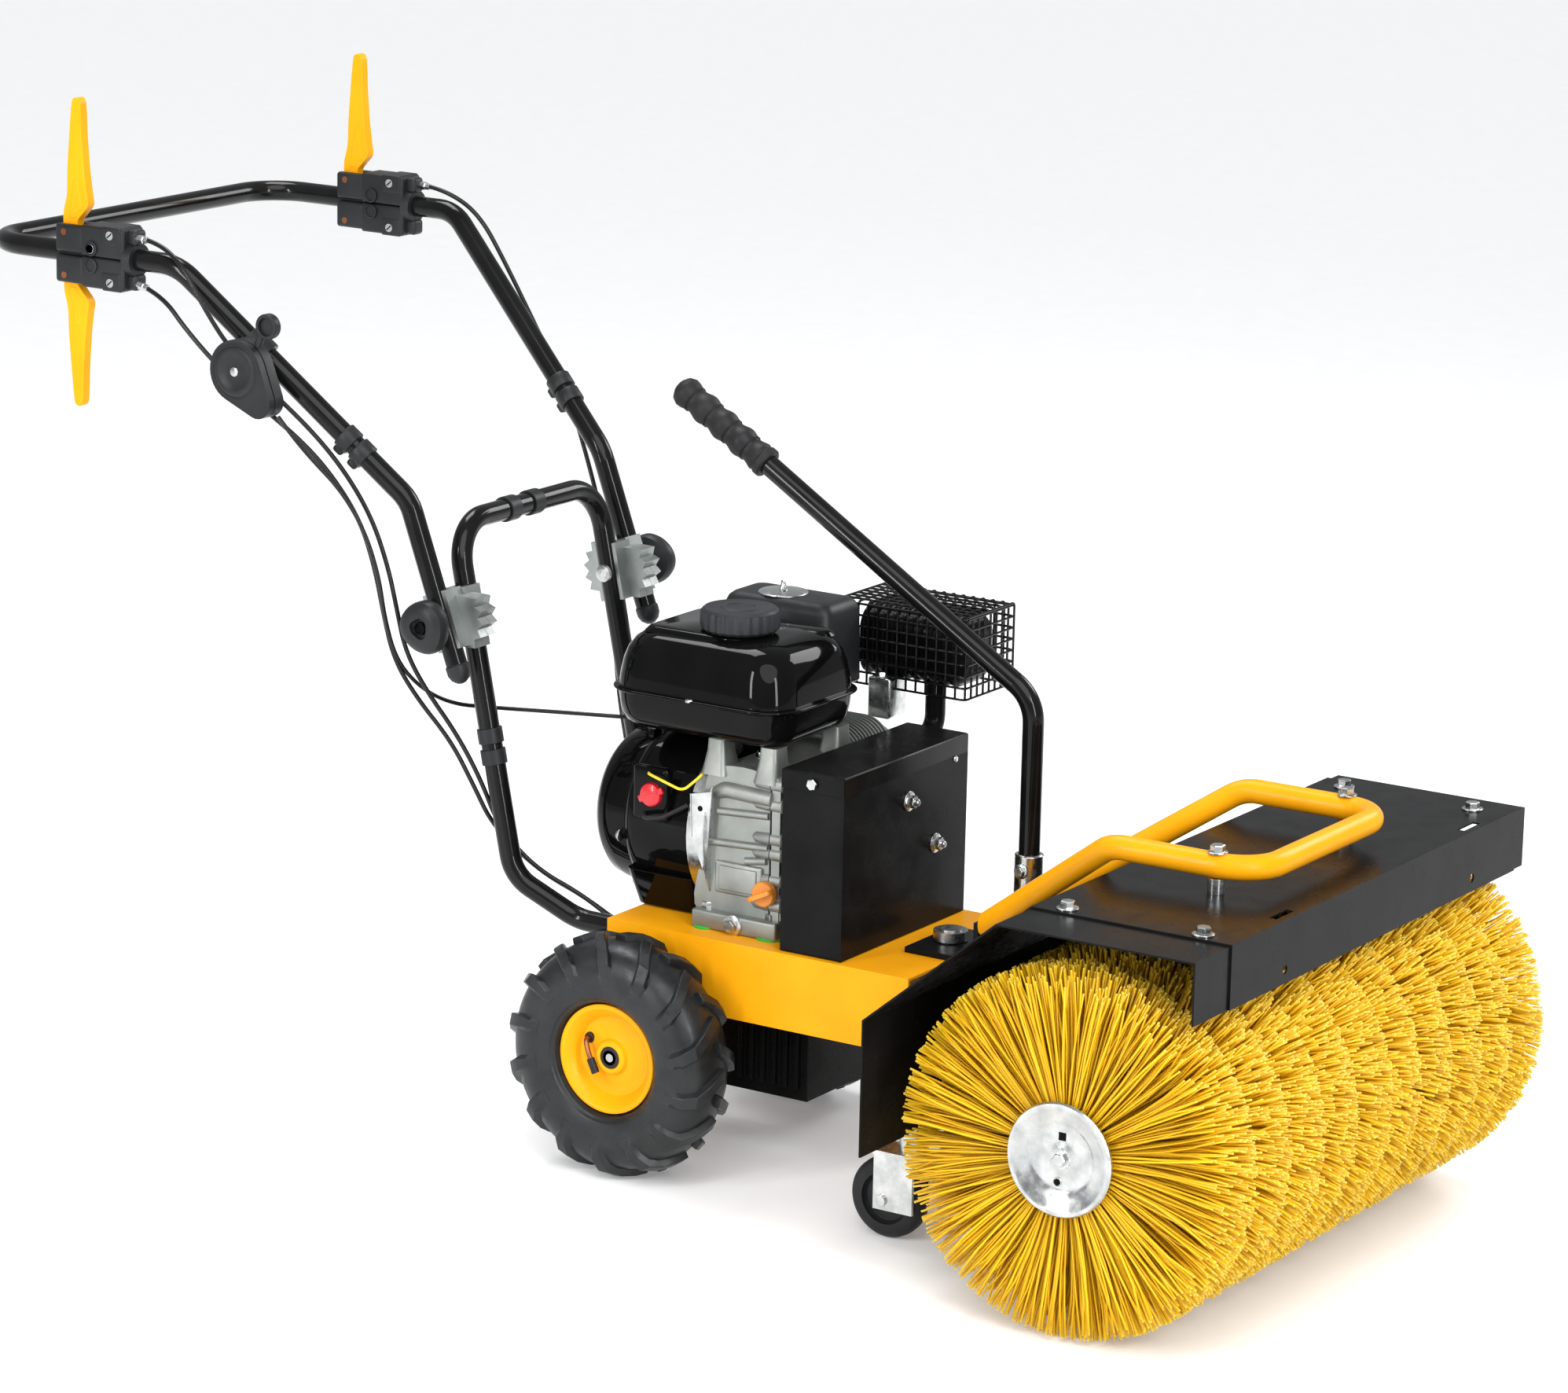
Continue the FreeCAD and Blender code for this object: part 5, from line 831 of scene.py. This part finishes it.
def blower_shroud():
    """Gloss black fan shroud, its zinc edge bracket, the starter case whose slots are painted shade between
    raised bars, and the red switch.
    """
    shroud = Shape()
    where = facing((0, 0, CRANK_Z), (0, 1, 0))
    shroud.add(turned([(-30, 30), (-30, 84), (-27, 89), (-22, 92), (44, 92), (50, 91.5), (56, 88.5), (60, 84),
                       (60, 70), (57, 70), (40, 88), (-20, 88), (-26, 84), (-28, 30), (-30, 30)], 96),
               GLOSS, where)
    shroud.add(rounded_box((-100, -86), (-4, 40), (360, 418), 5), GLOSS)
    shroud.add(loft([(258, -64, 64, -26, 58, 12), (300, -84, 84, -28, 60, 12)]), GLOSS)
    shroud.piece("fan_shroud", "chassis", "blower_housing", "gloss_black", 1.0)
    case = Shape()
    case.add(turned([(60, 70), (60, 84), (80, 84), (94, 81), (102, 74), (108, 62), (108, 22), (112, 18),
                     (112, 0)], 96),
             GLOSS, where)
    for index in range(12):
        slot = where @ rolled(30 * index + 15)
        # Painted shade: a dark strip in each slot stands in for the shade inside the starter case.
        case.add(rounded_box((34, 58), (-3.6, 3.6), (107.3, 108.4), 0.5), PAINTED_SHADE, slot)
        case.add(bar([(33, -5, 108), (60, -5, 108), (60, 5, 108), (33, 5, 108)], 1.1, 3, 8), GLOSS, slot)
    for index in range(3):
        angle = math.radians(120 * index + 70)
        hex_bolt(case, (88 * math.cos(angle), 62, CRANK_Z + 88 * math.sin(angle)), (0, 1, 0), 8, 5, 6.5)
        case.add(disc(8, 56, 62, 24), GLOSS,
                 where @ Matrix.Translation((88 * math.cos(angle), 88 * math.sin(angle), 0)))
    case.piece("starter_case", "chassis", "recoil_housing", "gloss_black", 0.8)
    bracket = Shape()
    rim = []
    for step in range(19):
        angle = math.radians(112 + 136 * step / 18)
        rim.append((math.cos(angle), math.sin(angle)))
    for low, high, y_low, y_high in ((94.5, 96.5, -52, -26), (90, 106, -53.5, -52)):
        outline = [(c * high, CRANK_Z + s * high) for c,
                   s in rim] + [(c * low, CRANK_Z + s * low) for c, s in rim[::-1]]
        bracket.add(prism(outline, "y", y_low, y_high), ZINC)
    bracket.add(prism([(-60, 404), (-34, 398), (-36, 352), (-50, 320), (-56, 348)], "x", -101, -99), ZINC)
    # Painted shade: a dark disc stands in for the shade inside a hole in the bracket.
    bracket.add(disc(3, 0, 0.4, 20), PAINTED_SHADE, facing((-101, -46, 384), (-1, 0, 0)))
    bracket.add(prism([(-35, 398), (-33, 398), (-35, 352), (-37, 352)], "x", -101, -93), ZINC)
    hex_bolt(bracket, (-90, -54, 268), (-1, 0, 0), 10, 6, 8)
    hex_bolt(bracket, (-58, -52, 424), (0, -1, 0.3), 10, 6, 8)
    bracket.piece("shroud_bracket", "chassis", slot="bright_steel", bevel=0.5)
    wires = Shape()
    wires.add(bar([(-92, 24, 410), (-108, 14, 413), (-110, -8, 408), (-104, -26, 400), (-98, -40, 414),
                   (-74, -48, 430)], 1.5, 12, 10), WIRE)
    wires.add(bar([(-92, 30, 368), (-112, 16, 366), (-112, -6, 370), (-98, -28, 384)], 2.4, 12, 10), RUBBER)
    wires.piece("switch_wires", "chassis", slot="black_rubber", bevel=0)
    switch = Shape()
    turn = facing((-92, 15, 389), (-1, 0, 0))
    switch.add(spun([(-2, 9), (4, 9), (4, 12.4), (8, 13), (12, 12), (13.8, 9)], 40), RED, turn)
    for spin in (25, 205):
        switch.add(rounded_box((6, 16), (-4, 4), (7, 12.4), 2), RED, turn @ rolled(spin))
    switch.add(rounded_box((-9, 9), (-2, 2), (13, 14), 0.5), RED, turn @ rolled(25))
    switch.piece("switch_knob", "switch", "engine_switch", "red_plastic", 0.6)


def oil_cap():
    """An orange dipstick plug with a wing grip."""
    shape = Shape()
    where = facing((-92, -124, 305), (-1, 0, 0))
    shape.add(spun([(-8, 9), (0.5, 9), (0.5, 13), (4, 13.6), (9, 13), (10, 11.5)], 40), ORANGE,
              where)
    grip = [(-15, 12), (-13, 19), (-6, 22), (6, 22), (13, 19), (15, 12), (12, 8), (-12, 8)]
    shape.add(prism(smooth_outline(grip, 3), "y", -2.6, 2.6), ORANGE,
              where @ rolled(25))
    shape.piece("oil_cap_plug", "oil_cap", "oil_filler_cap", "orange_plastic", 1.0)


def fuel_tank():
    """Two pressed shells that meet in a flange, with a stepped top and a neck."""
    shape = Shape()
    rows = ((457, 24, 24), (459, 14, 30), (464, 7, 34), (472, 3, 36), (484, 1, 37), (495, 0, 38),
            (496.5, -5, 42),
            (498, -6, 43), (499.5, -5, 42), (500.5, 0, 38), (512, 1.2, 37), (528, 4, 36), (540, 8, 34),
            (549, 14, 32), (555, 22, 28), (558.5, 32, 24), (560, 44, 18))
    shape.add(loft([(z, -110 + inset, 56 - inset, -145 + inset, 69 - inset, radius) for z, inset,
                    radius in rows],
                   corner_steps=9), GLOSS)
    shape.add(loft([(556, -84, 30, -56, 44, 12), (561, -80, 26, -52, 40, 12), (562.5, -77, 23, -49, 37, 12)],
                   corner_steps=6), GLOSS)
    shape.add(loft([(553, 6, 40, -122, -30, 10), (558.6, 9, 36, -118, -34, 10), (560, 12, 33, -115, -37, 9)],
                   corner_steps=6), GLOSS)
    where = facing((-40, -51, 0), (0, 0, 1))
    shape.add(turned([(556, 36), (560, 35), (562, 31), (564, 28), (571, 27.5), (572, 25)], 64), GLOSS, where)
    for x, y in ((-112.5, -38), (58.5, -38)):
        hex_bolt(shape, (x, y, 496), (0, 0, 1), 8, 5, 0)
    shape.piece("tank_shells", "chassis", "fuel_tank", "gloss_black", 0.8, 50)
    cap = Shape()
    cap.add(turned([(563, 29), (563, 37)], 96), CAP_PLASTIC, where)
    cap.add(turned([(563, 37), (566, 40.2), (570, 40.8), (581, 40.8), (584, 40)], 144, 24, 0.9),
            CAP_PLASTIC, where)
    cap.add(turned([(584, 40), (586.6, 37.5), (587.4, 34), (586.4, 31), (586.4, 21), (587.6, 19.5),
                    (587.6, 16.5), (586.2, 15), (586.2, 0)], 96), CAP_PLASTIC, where)
    cap.add(turned([(563, 29), (575, 28.6)], 64), CAP_PLASTIC, where)
    cap.piece("fuel_cap_ribbed", "tank_cap", "fuel_cap", "black_plastic", 0.5)


def air_cleaner():
    """A plastic case with a domed plate and a wing nut on top."""
    shape = Shape()
    rows = ((480, 3, 8), (483, 0, 10), (520, 0, 12), (524, -0.6, 12), (527, 0, 12), (560, 1, 13),
            (567, 4, 12), (571, 9, 10), (572, 14, 8))
    shape.add(loft([(z, 66 + inset, 140 - inset, -90 + inset, 45 - inset, radius) for z, inset,
                    radius in rows],
                   corner_steps=7), PLASTIC)
    where = facing((100, -13, 571), (0, 0, 1))
    shape.add(spun([(0, 25), (1.2, 27), (2.4, 26), (4, 18), (4.6, 8)], 56), ZINC, where)
    shape.add(spun([(4, 4.8), (7, 4.4), (9, 3), (11.6, 2.8)], 24), ZINC, where)
    for spin in (40, 220):
        shape.add(prism([(3, 5), (8, 8), (12, 11.6), (14, 10), (11, 5.4), (5, 4.6)], "y", -1.2, 1.2), ZINC,
                  where @ rolled(spin))
    shape.piece("air_cleaner_box", "chassis", "air_cleaner_case", "black_plastic", 0.7)


def muffler():
    """A rounded silencer with pressed ribs and its exhaust bend."""
    shape = Shape()
    rows = ((-195, 12, 16), (-192, 4, 20), (-186, 0, 22), (-73, 0, 22), (-67, 4, 20), (-64, 12, 16))
    shape.add(loft([(y, 163 + inset, 237 - inset, 481 + inset, 552 - inset, radius) for y, inset,
                    radius in rows], "y",
                   7), SHEET)
    for index in range(10):
        y = -184 + index * 12
        shape.add(loft([(y, 162, 238, 480, 553, 22), (y + 1.2, 160.6, 239.4, 478.6, 554.4, 23),
                        (y + 4.2, 160.6, 239.4, 478.6, 554.4, 23), (y + 5.4, 162, 238, 480, 553, 22)], "y",
                       7), SHEET)
    shape.add(bar([(124, -128.2, 406), (124, -152, 406), (186, -152, 430), (186, -152, 486)], 11, 22, 24),
              SHEET)
    shape.add(turned([(0, 11), (0, 17), (5, 17), (5, 11)], 32), ZINC, facing((124, -133, 406), (0, -1, 0)))
    shape.add(rounded_box((145, 180), (-120, -92), (440, 484), 3), ZINC)
    hex_bolt(shape, (150, -106, 484), (0, 0, 1), 10, 6, 8)
    shape.piece("silencer", "chassis", "muffler", "black_sheet", 0.6, 45)
    cage = Shape()
    x_low, x_high, y_low, y_high, z_low, z_high = 151.5, 248.5, -208.5, -50.5, 473.5, 561.5
    wire = 1.35
    for index in range(14):
        y = y_low + (y_high - y_low) * index / 13
        cage.add(bar([(x_low, y, z_low), (x_low, y, z_high), (x_high, y, z_high), (x_high, y, z_low)], wire,
                     5, 8),
                 TUBE)
    for index in range(8):
        z = z_low + (z_high - z_low - 2.4) * index / 7
        cage.add(bar([(x_low, y_high, z), (x_low, y_low, z), (x_high, y_low, z), (x_high, y_high, z)], wire,
                     6, 8),
                 TUBE)
    for index in range(1, 8):
        x = x_low + (x_high - x_low) * index / 8
        cage.add(bar([(x, y_low, z_low), (x, y_low, z_high), (x, y_high, z_high)], wire, 5, 8), TUBE)
    cage.piece("wire_guard", "chassis", "muffler_guard", "black_sheet", 0)


def belt_cover():
    """A folded box with a lid whose lip laps over it."""
    shape = Shape()
    shape.add(block((-119.4, 119.4), (-231.4, -158.6), (CHASSIS_TOP + 1, 444)), SHEET)
    shape.add(loft([(429, -121, 121, -233, -157, 1.4), (447.6, -121, 121, -233, -157, 1.4),
                    (449, -119.6, 119.6, -231.6, -158.4, 1.4)], corner_steps=3), SHEET)
    shape.add(block((-120.6, 120.6), (-232.8, -231), (CHASSIS_TOP + 1, 430)), SHEET)
    shape.piece("belt_cover_box", "chassis", "belt_cover", "black_sheet", 0.9, 30)


def starter_grip():
    """The recoil handle and its stem."""
    shape = Shape()
    shape.add(loft([(8, 435, 447, -33, -19, 5), (12, 434.4, 448, -33.4, -18.6, 6),
                    (48, 434.4, 448, -33.4, -18.6, 6),
                    (52, 435, 447, -33, -19, 5)], "x", 6), PLASTIC,
              GLOBAL @ Matrix(((1, 0, 0, 0), (0, 0, 1, 112),
                                                                                (0, 1, 0, 0), (0, 0, 0, 1))))
    shape.add(disc(3, 0, 14, 20), PLASTIC, facing((30, 86, 422), (0, 0, 1)))
    shape.piece("starter_grip", "starter_handle", "recoil_handle", "black_plastic", 0.6)


# Sweep head
YOKE_STUD_X, YOKE_STUD_Y = 135, -667
ANGLE_X, ANGLE_Y = 100, -322


def hood_fasteners():
    """Bolts and nuts on the hood, and the yoke's two studs with their spacers."""
    shape = Shape()
    for x in (-270, 301):
        for y in (-580, -727):
            hex_bolt(shape, (x, y, 408), (0, 0, 1), 13, 8.5, 11, spin=dice.uniform(0, 60))
            hex_bolt(shape, (x, y, 403.8), (0, 0, -1), 13, 8, 10, spin=dice.uniform(0, 60))
    for side in (-1, 1):
        hex_bolt(shape, (side * YOKE_STUD_X, YOKE_STUD_Y, 448.2), (0, 0, 1), 13, 8.5, 10,
                 spin=dice.uniform(0, 60))
        shape.add(disc(9, 0, 15.6, 32), ZINC, facing((side * YOKE_STUD_X, YOKE_STUD_Y, 408), (0, 0, 1)))
        hex_bolt(shape, (side * YOKE_STUD_X, YOKE_STUD_Y, 406), (0, 0, -1), 13, 8, 10)
    shape.piece("hood_bolt_set", "sweep_head", "hood_bolts", "bright_steel", 0.3)


def lever_grip():
    """A black finger grip: a flange, four finger waves and a domed end."""
    shape = Shape()
    end = Vector((ANGLE_X, 112, 770))
    heading = (Vector((ANGLE_X, ANGLE_Y, 502)) - end).normalized()
    where = facing(end - heading * 9.5, heading)
    profile = [(-3, 0), (-2, 9), (2, 14.5), (8, 17)]
    for step in range(40):
        along = 10 + step * 2.75
        profile.append((along, 15.3 + 1.5 * math.cos(2 * math.pi * (along - 10) / 27.5)))
    profile += [(121, 15.2), (123, 17), (129, 17), (131, 15.5), (131, 11.4)]
    shape.add(turned(profile, 48), RUBBER, where)
    for index in range(4):
        shape.add(turned([(19 + index * 27.5, 15.2), (20 + index * 27.5, 14.4), (21 + index * 27.5, 15.2)],
                         48), RUBBER,
                  where)
    shape.piece("finger_grip", "sweep_head", "lever_grip", "black_rubber", 0.4)
    socket = Shape()
    socket.add(turned([(256.5, 11.6), (256.5, 15.4), (337, 15.4), (338.4, 14), (338.4, 11.6)], 48), ZINC,
               facing((ANGLE_X, ANGLE_Y, 0), (0, 0, 1)))
    hex_bolt(socket, (ANGLE_X - 15.4, ANGLE_Y, 322), (-1, 0, 0), 10, 6, 8)
    socket.piece("lever_socket", "sweep_head", slot="bright_steel", bevel=0.5)


# Handlebar
PIVOT_Y, PIVOT_Z, GRIP_HALF, GRIP_Y, GRIP_Z = 228, 556, 242, 524, 906
UPPER_HALF, UPPER_LEAN, LOWER_HALF, LOWER_LEAN = 174, 20.6, 128, 12.0
LOWER_TOP, LOWER_DROP = 94, 274
LEVER_PIN_Y, LEVER_PIN_RISE = 664, 23


def clutch_levers():
    """Three flat paddles, each a curved blade with a boss round its pin."""
    outline = [(8, -7), (9.5, 6), (9, 20), (4.5, 38), (3.5, 64), (0.5, 100), (-3, 134), (-6.5, 140),
               (-11.5, 140),
               (-15, 133), (-16.5, 100), (-19.5, 64), (-22.5, 42), (-24, 28), (-16, 18), (-10, 10),
               (-9, -5), (0, -9)]
    for name, side, face, body, node in (("travel", -1, 1, "travel_grip", "travel_lever"),
                                         ("reverse", -1, -1, "reverse_grip", "reverse_lever"),
                                         ("brush", 1, 1, "brush_grip", "brush_lever")):
        shape = Shape()
        pin_z = GRIP_Z + face * LEVER_PIN_RISE
        curve = smooth_outline([(LEVER_PIN_Y + y, pin_z + face * rise) for y, rise in outline], 4)
        shape.add(prism(curve, "x", side * GRIP_HALF - 5.8, side * GRIP_HALF + 5.8), YELLOW)
        inner = smooth_outline([(LEVER_PIN_Y - 4 + y * 0.55, pin_z + face * (rise * 0.28 + 16))
                                for y, rise in outline], 3)
        shape.add(prism(inner, "x", side * GRIP_HALF - 6.4, side * GRIP_HALF + 6.4), YELLOW)
        shape.piece(f"{name}_paddle", body, node, "yellow_paint", 3.2, 50)


def beside(middle, face, low, high):
    """The limits of a stretch on one side of a middle."""
    return tuple(sorted((middle + face * low, middle + face * high)))


def lever_mounts():
    """Two-part black castings that clamp the bar, with pins, screws and cable adjusters."""
    shape = Shape()
    for side in (-1, 1):
        x = side * GRIP_HALF
        for face in (-1, 1):
            shape.add(rounded_box((x - 17, x + 17), (583, 641), beside(GRIP_Z, face, 0.3, 33), 3), PLASTIC)
            shape.add(rounded_box((x - 18, x + 18), (586, 612), beside(GRIP_Z, face, 14, 34), 2.4), PLASTIC)
            for cheek in (-1, 1):
                shape.add(rounded_box(beside(x, cheek, 7, 16.5), (638, 676), beside(GRIP_Z, face, 1.5, 31),
                                      3.5),
                          PLASTIC)
                shape.add(spun([(0, 3.8), (0.8, 3.6)], 24), BRASS,
                          facing((x + cheek * 16, LEVER_PIN_Y, GRIP_Z + face * LEVER_PIN_RISE),
                                 (cheek, 0, 0)))
                shape.add(spun([(0, 5), (0.7, 4.6)], 24), ZINC,
                          facing((x + cheek * 17.4, 601, GRIP_Z + face * 25), (cheek, 0, 0)))
                # Painted shade: a dark bar stands in for the shade inside the slot of each screw head.
                shape.add(block((-4, 4), (-0.7, 0.7), (0.65, 0.9)), PAINTED_SHADE,
                          facing((x + cheek * 17.4, 601, GRIP_Z + face * 25), (cheek, 0, 0), 40))
                shape.add(spun([(0, 8.5), (4, 8), (4.4, 6.4), (3, 6)], 28), PLASTIC,
                          facing((x + cheek * 15, 626, GRIP_Z + face * 9), (cheek, 0, 0)))
            shape.add(spun([(0, 5.4), (2, 5.2), (2.4, 4.6)], 24), ZINC,
                      facing((x + side * 17.6, 626, GRIP_Z + 9), (side, 0, 0)))
            shape.add(rounded_box((x - 9, x + 9), (572, 586), beside(GRIP_Z, face, 15, 32), 4), PLASTIC)
            if side > 0 and face < 0:
                continue
            where = facing((x + side * 4, 580, GRIP_Z + face * 24), (0, -1, -0.08 if face > 0 else -0.2))
            shape.add(disc(5, -4, 2, 6), ZINC, where)
            shape.add(spun([(2, 4.6), (14, 4.6), (15, 3.8), (20, 3.6)], 6), ZINC, where)
        shape.add(turned([(0, 11.6), (0, 17.5), (10, 19), (10, 11.6)], 48), PLASTIC,
                  facing((x, 575, GRIP_Z), (0, 1, 0)))
    shape.piece("lever_mount_castings", "handlebar", "lever_mounts", "black_plastic", 0.7)


def throttle():
    """A teardrop housing with a raised ring, a zinc rivet and a ring-shaped thumb tab."""
    body = Shape()
    centre = Vector((-246, 437, 806))

    def drop(radius, end_radius, reach):
        """A circle drawn out to a smaller one, forward and down along the tube."""
        tail = math.atan2(-0.72, -0.69)
        open_angle = math.acos((radius - end_radius) / reach)
        points = []
        for step in range(25):
            angle = tail + open_angle + (2 * math.pi - 2 * open_angle) * step / 24
            points.append((centre.y + radius * math.cos(angle), centre.z + radius * math.sin(angle)))
        for step in range(9):
            angle = tail - open_angle + 2 * open_angle * step / 8
            points.append((centre.y + reach * math.cos(tail) + end_radius * math.cos(angle),
                           centre.z + reach * math.sin(tail) + end_radius * math.sin(angle)))
        return points

    body.add(prism(drop(33, 17, 41), "x", -257, -248), PLASTIC)
    # Painted shade: a dark, slightly smaller layer between the two halves stands in for the shade in the
    # parting groove.
    body.add(prism(drop(31.5, 16, 40.5), "x", -248.5, -246), PAINTED_SHADE)
    body.add(prism(drop(33, 17, 41), "x", -246.5, -233), PLASTIC)
    where = facing(centre, (-1, 0, 0))
    body.add(spun([(10.5, 27), (12.2, 25.6), (12.8, 23.6), (12.8, 19.4), (11.8, 18), (11.6, 8)],
                    56), PLASTIC, where)
    body.add(turned([(10.9, 29.4), (11.5, 29), (11.5, 28.2), (10.9, 27.8)], 56), PLASTIC, where)
    body.add(turned([(11, 0), (11, 5.4), (12.8, 5), (13.4, 3.6), (13.6, 0)], 28), ZINC, where)
    leg = Vector((-218.3, 437, 826.7))
    slope = Vector((68, -250, -228)).normalized()
    body.add(turned([(-14, 11.6), (-14, 16), (14, 16), (14, 11.6)], 36), PLASTIC, facing(leg, slope))
    body.add(rounded_box((-236, -220), (424, 448), (808, 824), 3), PLASTIC)
    body.piece("throttle_case", "handlebar", "throttle_housing", "black_plastic", 1.2, 40)
    arm = Shape()
    arm.add(disc(25, -1.6, 1.6, 48), PLASTIC, where)
    base = Vector((-247, 437 - 22, 806 + 28))
    ring = Vector((-247, 401, 856))
    arm.add(bar([base, ring + Vector((0, 8, -9))], 4.2, 0, 14), PLASTIC)
    arm.add(turned([(-5, 9.5), (-5, 12.6), (-4, 13.4), (4, 13.4), (5, 12.6), (5, 9.5), (-5, 9.5)], 40),
            PLASTIC, facing(ring, (-1, 0, 0)))
    arm.add(disc(10, -1, 1, 32), PLASTIC, facing(ring, (-1, 0, 0)))
    arm.piece("thumb_tab", "throttle_arm", "throttle_lever", "black_plastic", 0.7)


def knobs():
    """A three-lobed hand knob on each clamp, with a hexagon socket whose inside is painted shade."""
    for side, name in ((-1, "right"), (1, "left")):
        shape = Shape()
        where = facing((side * 185.8, PIVOT_Y, PIVOT_Z), (side, 0, 0))
        shape.add(spun([(0, 12), (7, 13), (10, 20), (13, 25.5), (18, 28), (24, 28), (29, 26), (33, 20.5),
                          (34, 15), (34, 10.5), (29, 9.8)], 72, 3, -0.9), PLASTIC, where)
        # Painted shade: a dark hexagon stands in for the shade inside the socket.
        shape.add(spun([(28, 7.6), (33.4, 7.6), (33.4, 5.8), (29.5, 5.8)], 6), PAINTED_SHADE, where)
        shape.piece(f"knob_{name}_round", f"knob_{name}", f"clamp_knob_{name}", "black_plastic", 0.8)


def leg_point(side, rise, half=UPPER_HALF, lean=UPPER_LEAN):
    """A point on a leaning leg, at a height above the fold."""
    return Vector((side * half, PIVOT_Y + rise * math.tan(math.radians(lean)), PIVOT_Z + rise))


def tube_fittings():
    """Domed plugs in the tube ends, and the sleeves that hold the cables."""
    bars, frame_clips = Shape(), Shape()
    for side in (-1, 1):
        low, high = leg_point(side, -50), leg_point(side, -30)
        where = facing(low, low - high)
        bars.add(turned([(-7, 0), (-7, 11.4), (-5, 12.6), (3, 12.4), (9, 9.6), (13, 4.5), (14, 0)], 36),
                 PLASTIC, where)
        grip, knee = Vector((side * GRIP_HALF, GRIP_Y, GRIP_Z)), leg_point(side, 122)
        for share in ((0.74, 0.8) if side < 0 else (0.73, 0.79)):
            middle = grip.lerp(knee, share)
            bars.add(turned([(-8, 11.4), (-8, 13.4), (-7, 13.9), (7, 13.9), (8, 13.4), (8, 11.4)], 36),
                     PLASTIC, facing(middle, knee - grip))
            bars.add(rounded_box((-7, 7), (-19, -10), (-6, 6), 3), PLASTIC,
                     facing(middle, knee - grip))
    top = leg_point(1, LOWER_TOP, LOWER_HALF, LOWER_LEAN)
    for x in (-34, 8):
        frame_clips.add(turned([(-9, 11.4), (-9, 13.6), (9, 13.6), (9, 11.4)], 36), PLASTIC,
                        facing((x, top.y, top.z), (1, 0, 0)))
    foot = leg_point(-1, -LOWER_DROP, LOWER_HALF, LOWER_LEAN)
    high = leg_point(-1, LOWER_TOP, LOWER_HALF, LOWER_LEAN)
    for share in (0.6, 0.66):
        middle = high.lerp(foot, share)
        frame_clips.add(turned([(-8, 11.4), (-8, 13.5), (8, 13.5), (8, 11.4)], 36), PLASTIC,
                        facing(middle, foot - high))
    bars.piece("handlebar_plugs_and_clips", "handlebar", slot="black_plastic", bevel=0.6)
    frame_clips.piece("bow_clips", "chassis", slot="black_plastic", bevel=0.6)


def cable_line(name, points, radius=2.5):
    """One Bowden cable from end to end on a smooth spline, whose route curves past the fold."""
    curve = bpy.data.curves.new(name, "CURVE")
    curve.dimensions = "3D"
    spline = curve.splines.new("NURBS")
    spline.points.add(len(points) - 1)
    for handle, point in zip(spline.points, points):
        handle.co = (*(GLOBAL @ Vector(point)), 1)
    spline.order_u = 3
    spline.use_endpoint_u = True
    spline.resolution_u = 8
    curve.bevel_depth = radius / 1000
    curve.bevel_resolution = 4
    curve.use_fill_caps = True
    holder = placed(name + "_curve", curve)
    mesh = bpy.data.meshes.new_from_object(holder.evaluated_get(bpy.context.evaluated_depsgraph_get()))
    bpy.data.objects.remove(holder)
    mesh.name = name
    mesh.materials.clear()
    mesh.materials.append(CABLE)
    mesh.shade_smooth()
    item = placed(name, mesh)
    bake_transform(item)
    return item


def cables():
    """The near pair, the far one and the throttle's, each from its adjuster into the machine."""
    near_top = cable_line("travel_cable", [
        (-246, 562, 929), (-247, 540, 926), (-256, 506, 908), (-256, 478, 868), (-246, 452, 826),
                                           (-229, 420, 790),
        (-210, 372, 744), (-202, 336, 705), (-196, 306, 660), (-194, 286, 610), (-192, 276, 566),
                                           (-188, 268, 522),
        (-172, 254, 480), (-148, 230, 430), (-134, 208, 380), (-124, 192, 330), (-104, 158, 286),
                                           (-86, 112, 262),
        (-82, 70, 238), (-82, 30, 232)])
    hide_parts("upper_cables", "lower_cables")
    cable_line("reverse_cable", [
        (-246, 562, 878), (-247, 538, 870), (-250, 508, 842), (-244, 470, 806), (-232, 430, 772),
                                 (-214, 378, 730),
        (-206, 344, 694), (-201, 316, 654), (-200, 298, 606), (-199, 288, 560), (-194, 278, 512),
                                 (-176, 262, 470),
        (-150, 236, 422), (-138, 216, 376), (-126, 198, 330), (-98, 158, 282), (-78, 110, 256),
                                 (-74, 70, 234),
        (-74, 30, 228)])
    cable_line("brush_cable", [
        (246, 562, 929), (247, 536, 926), (258, 500, 902), (254, 460, 850), (240, 410, 790), (222, 364, 742),
        (206, 330, 700), (196, 306, 656), (194, 288, 606), (192, 278, 560), (188, 268, 510), (168, 248, 462),
        (146, 226, 410), (134, 206, 360), (122, 188, 314), (100, 150, 276), (84, 108, 256), (82, 66, 236),
        (82, 30, 230)])
    cable_line("throttle_cable", [
        (-251, 385, 764), (-250, 370, 748), (-240, 350, 722), (-222, 326, 690), (-208, 306, 648),
                                  (-204, 290, 600),
        (-202, 284, 556), (-192, 276, 510), (-168, 262, 478), (-130, 250, 456), (-100, 226, 450),
                                  (-68, 124, 452),
        (-40, 74, 449.5), (12, 49, 449.5), (62, 28, 449.5), (86, 12, 448), (109, 22, 446)], 2.2)


crankcase()
engine_studs()
cylinder()
blower_shroud()
oil_cap()
fuel_tank()
air_cleaner()
muffler()
belt_cover()
starter_grip()
hood_fasteners()
lever_grip()
clutch_levers()
lever_mounts()
throttle()
knobs()
tube_fittings()
cables()
camera()
studio()
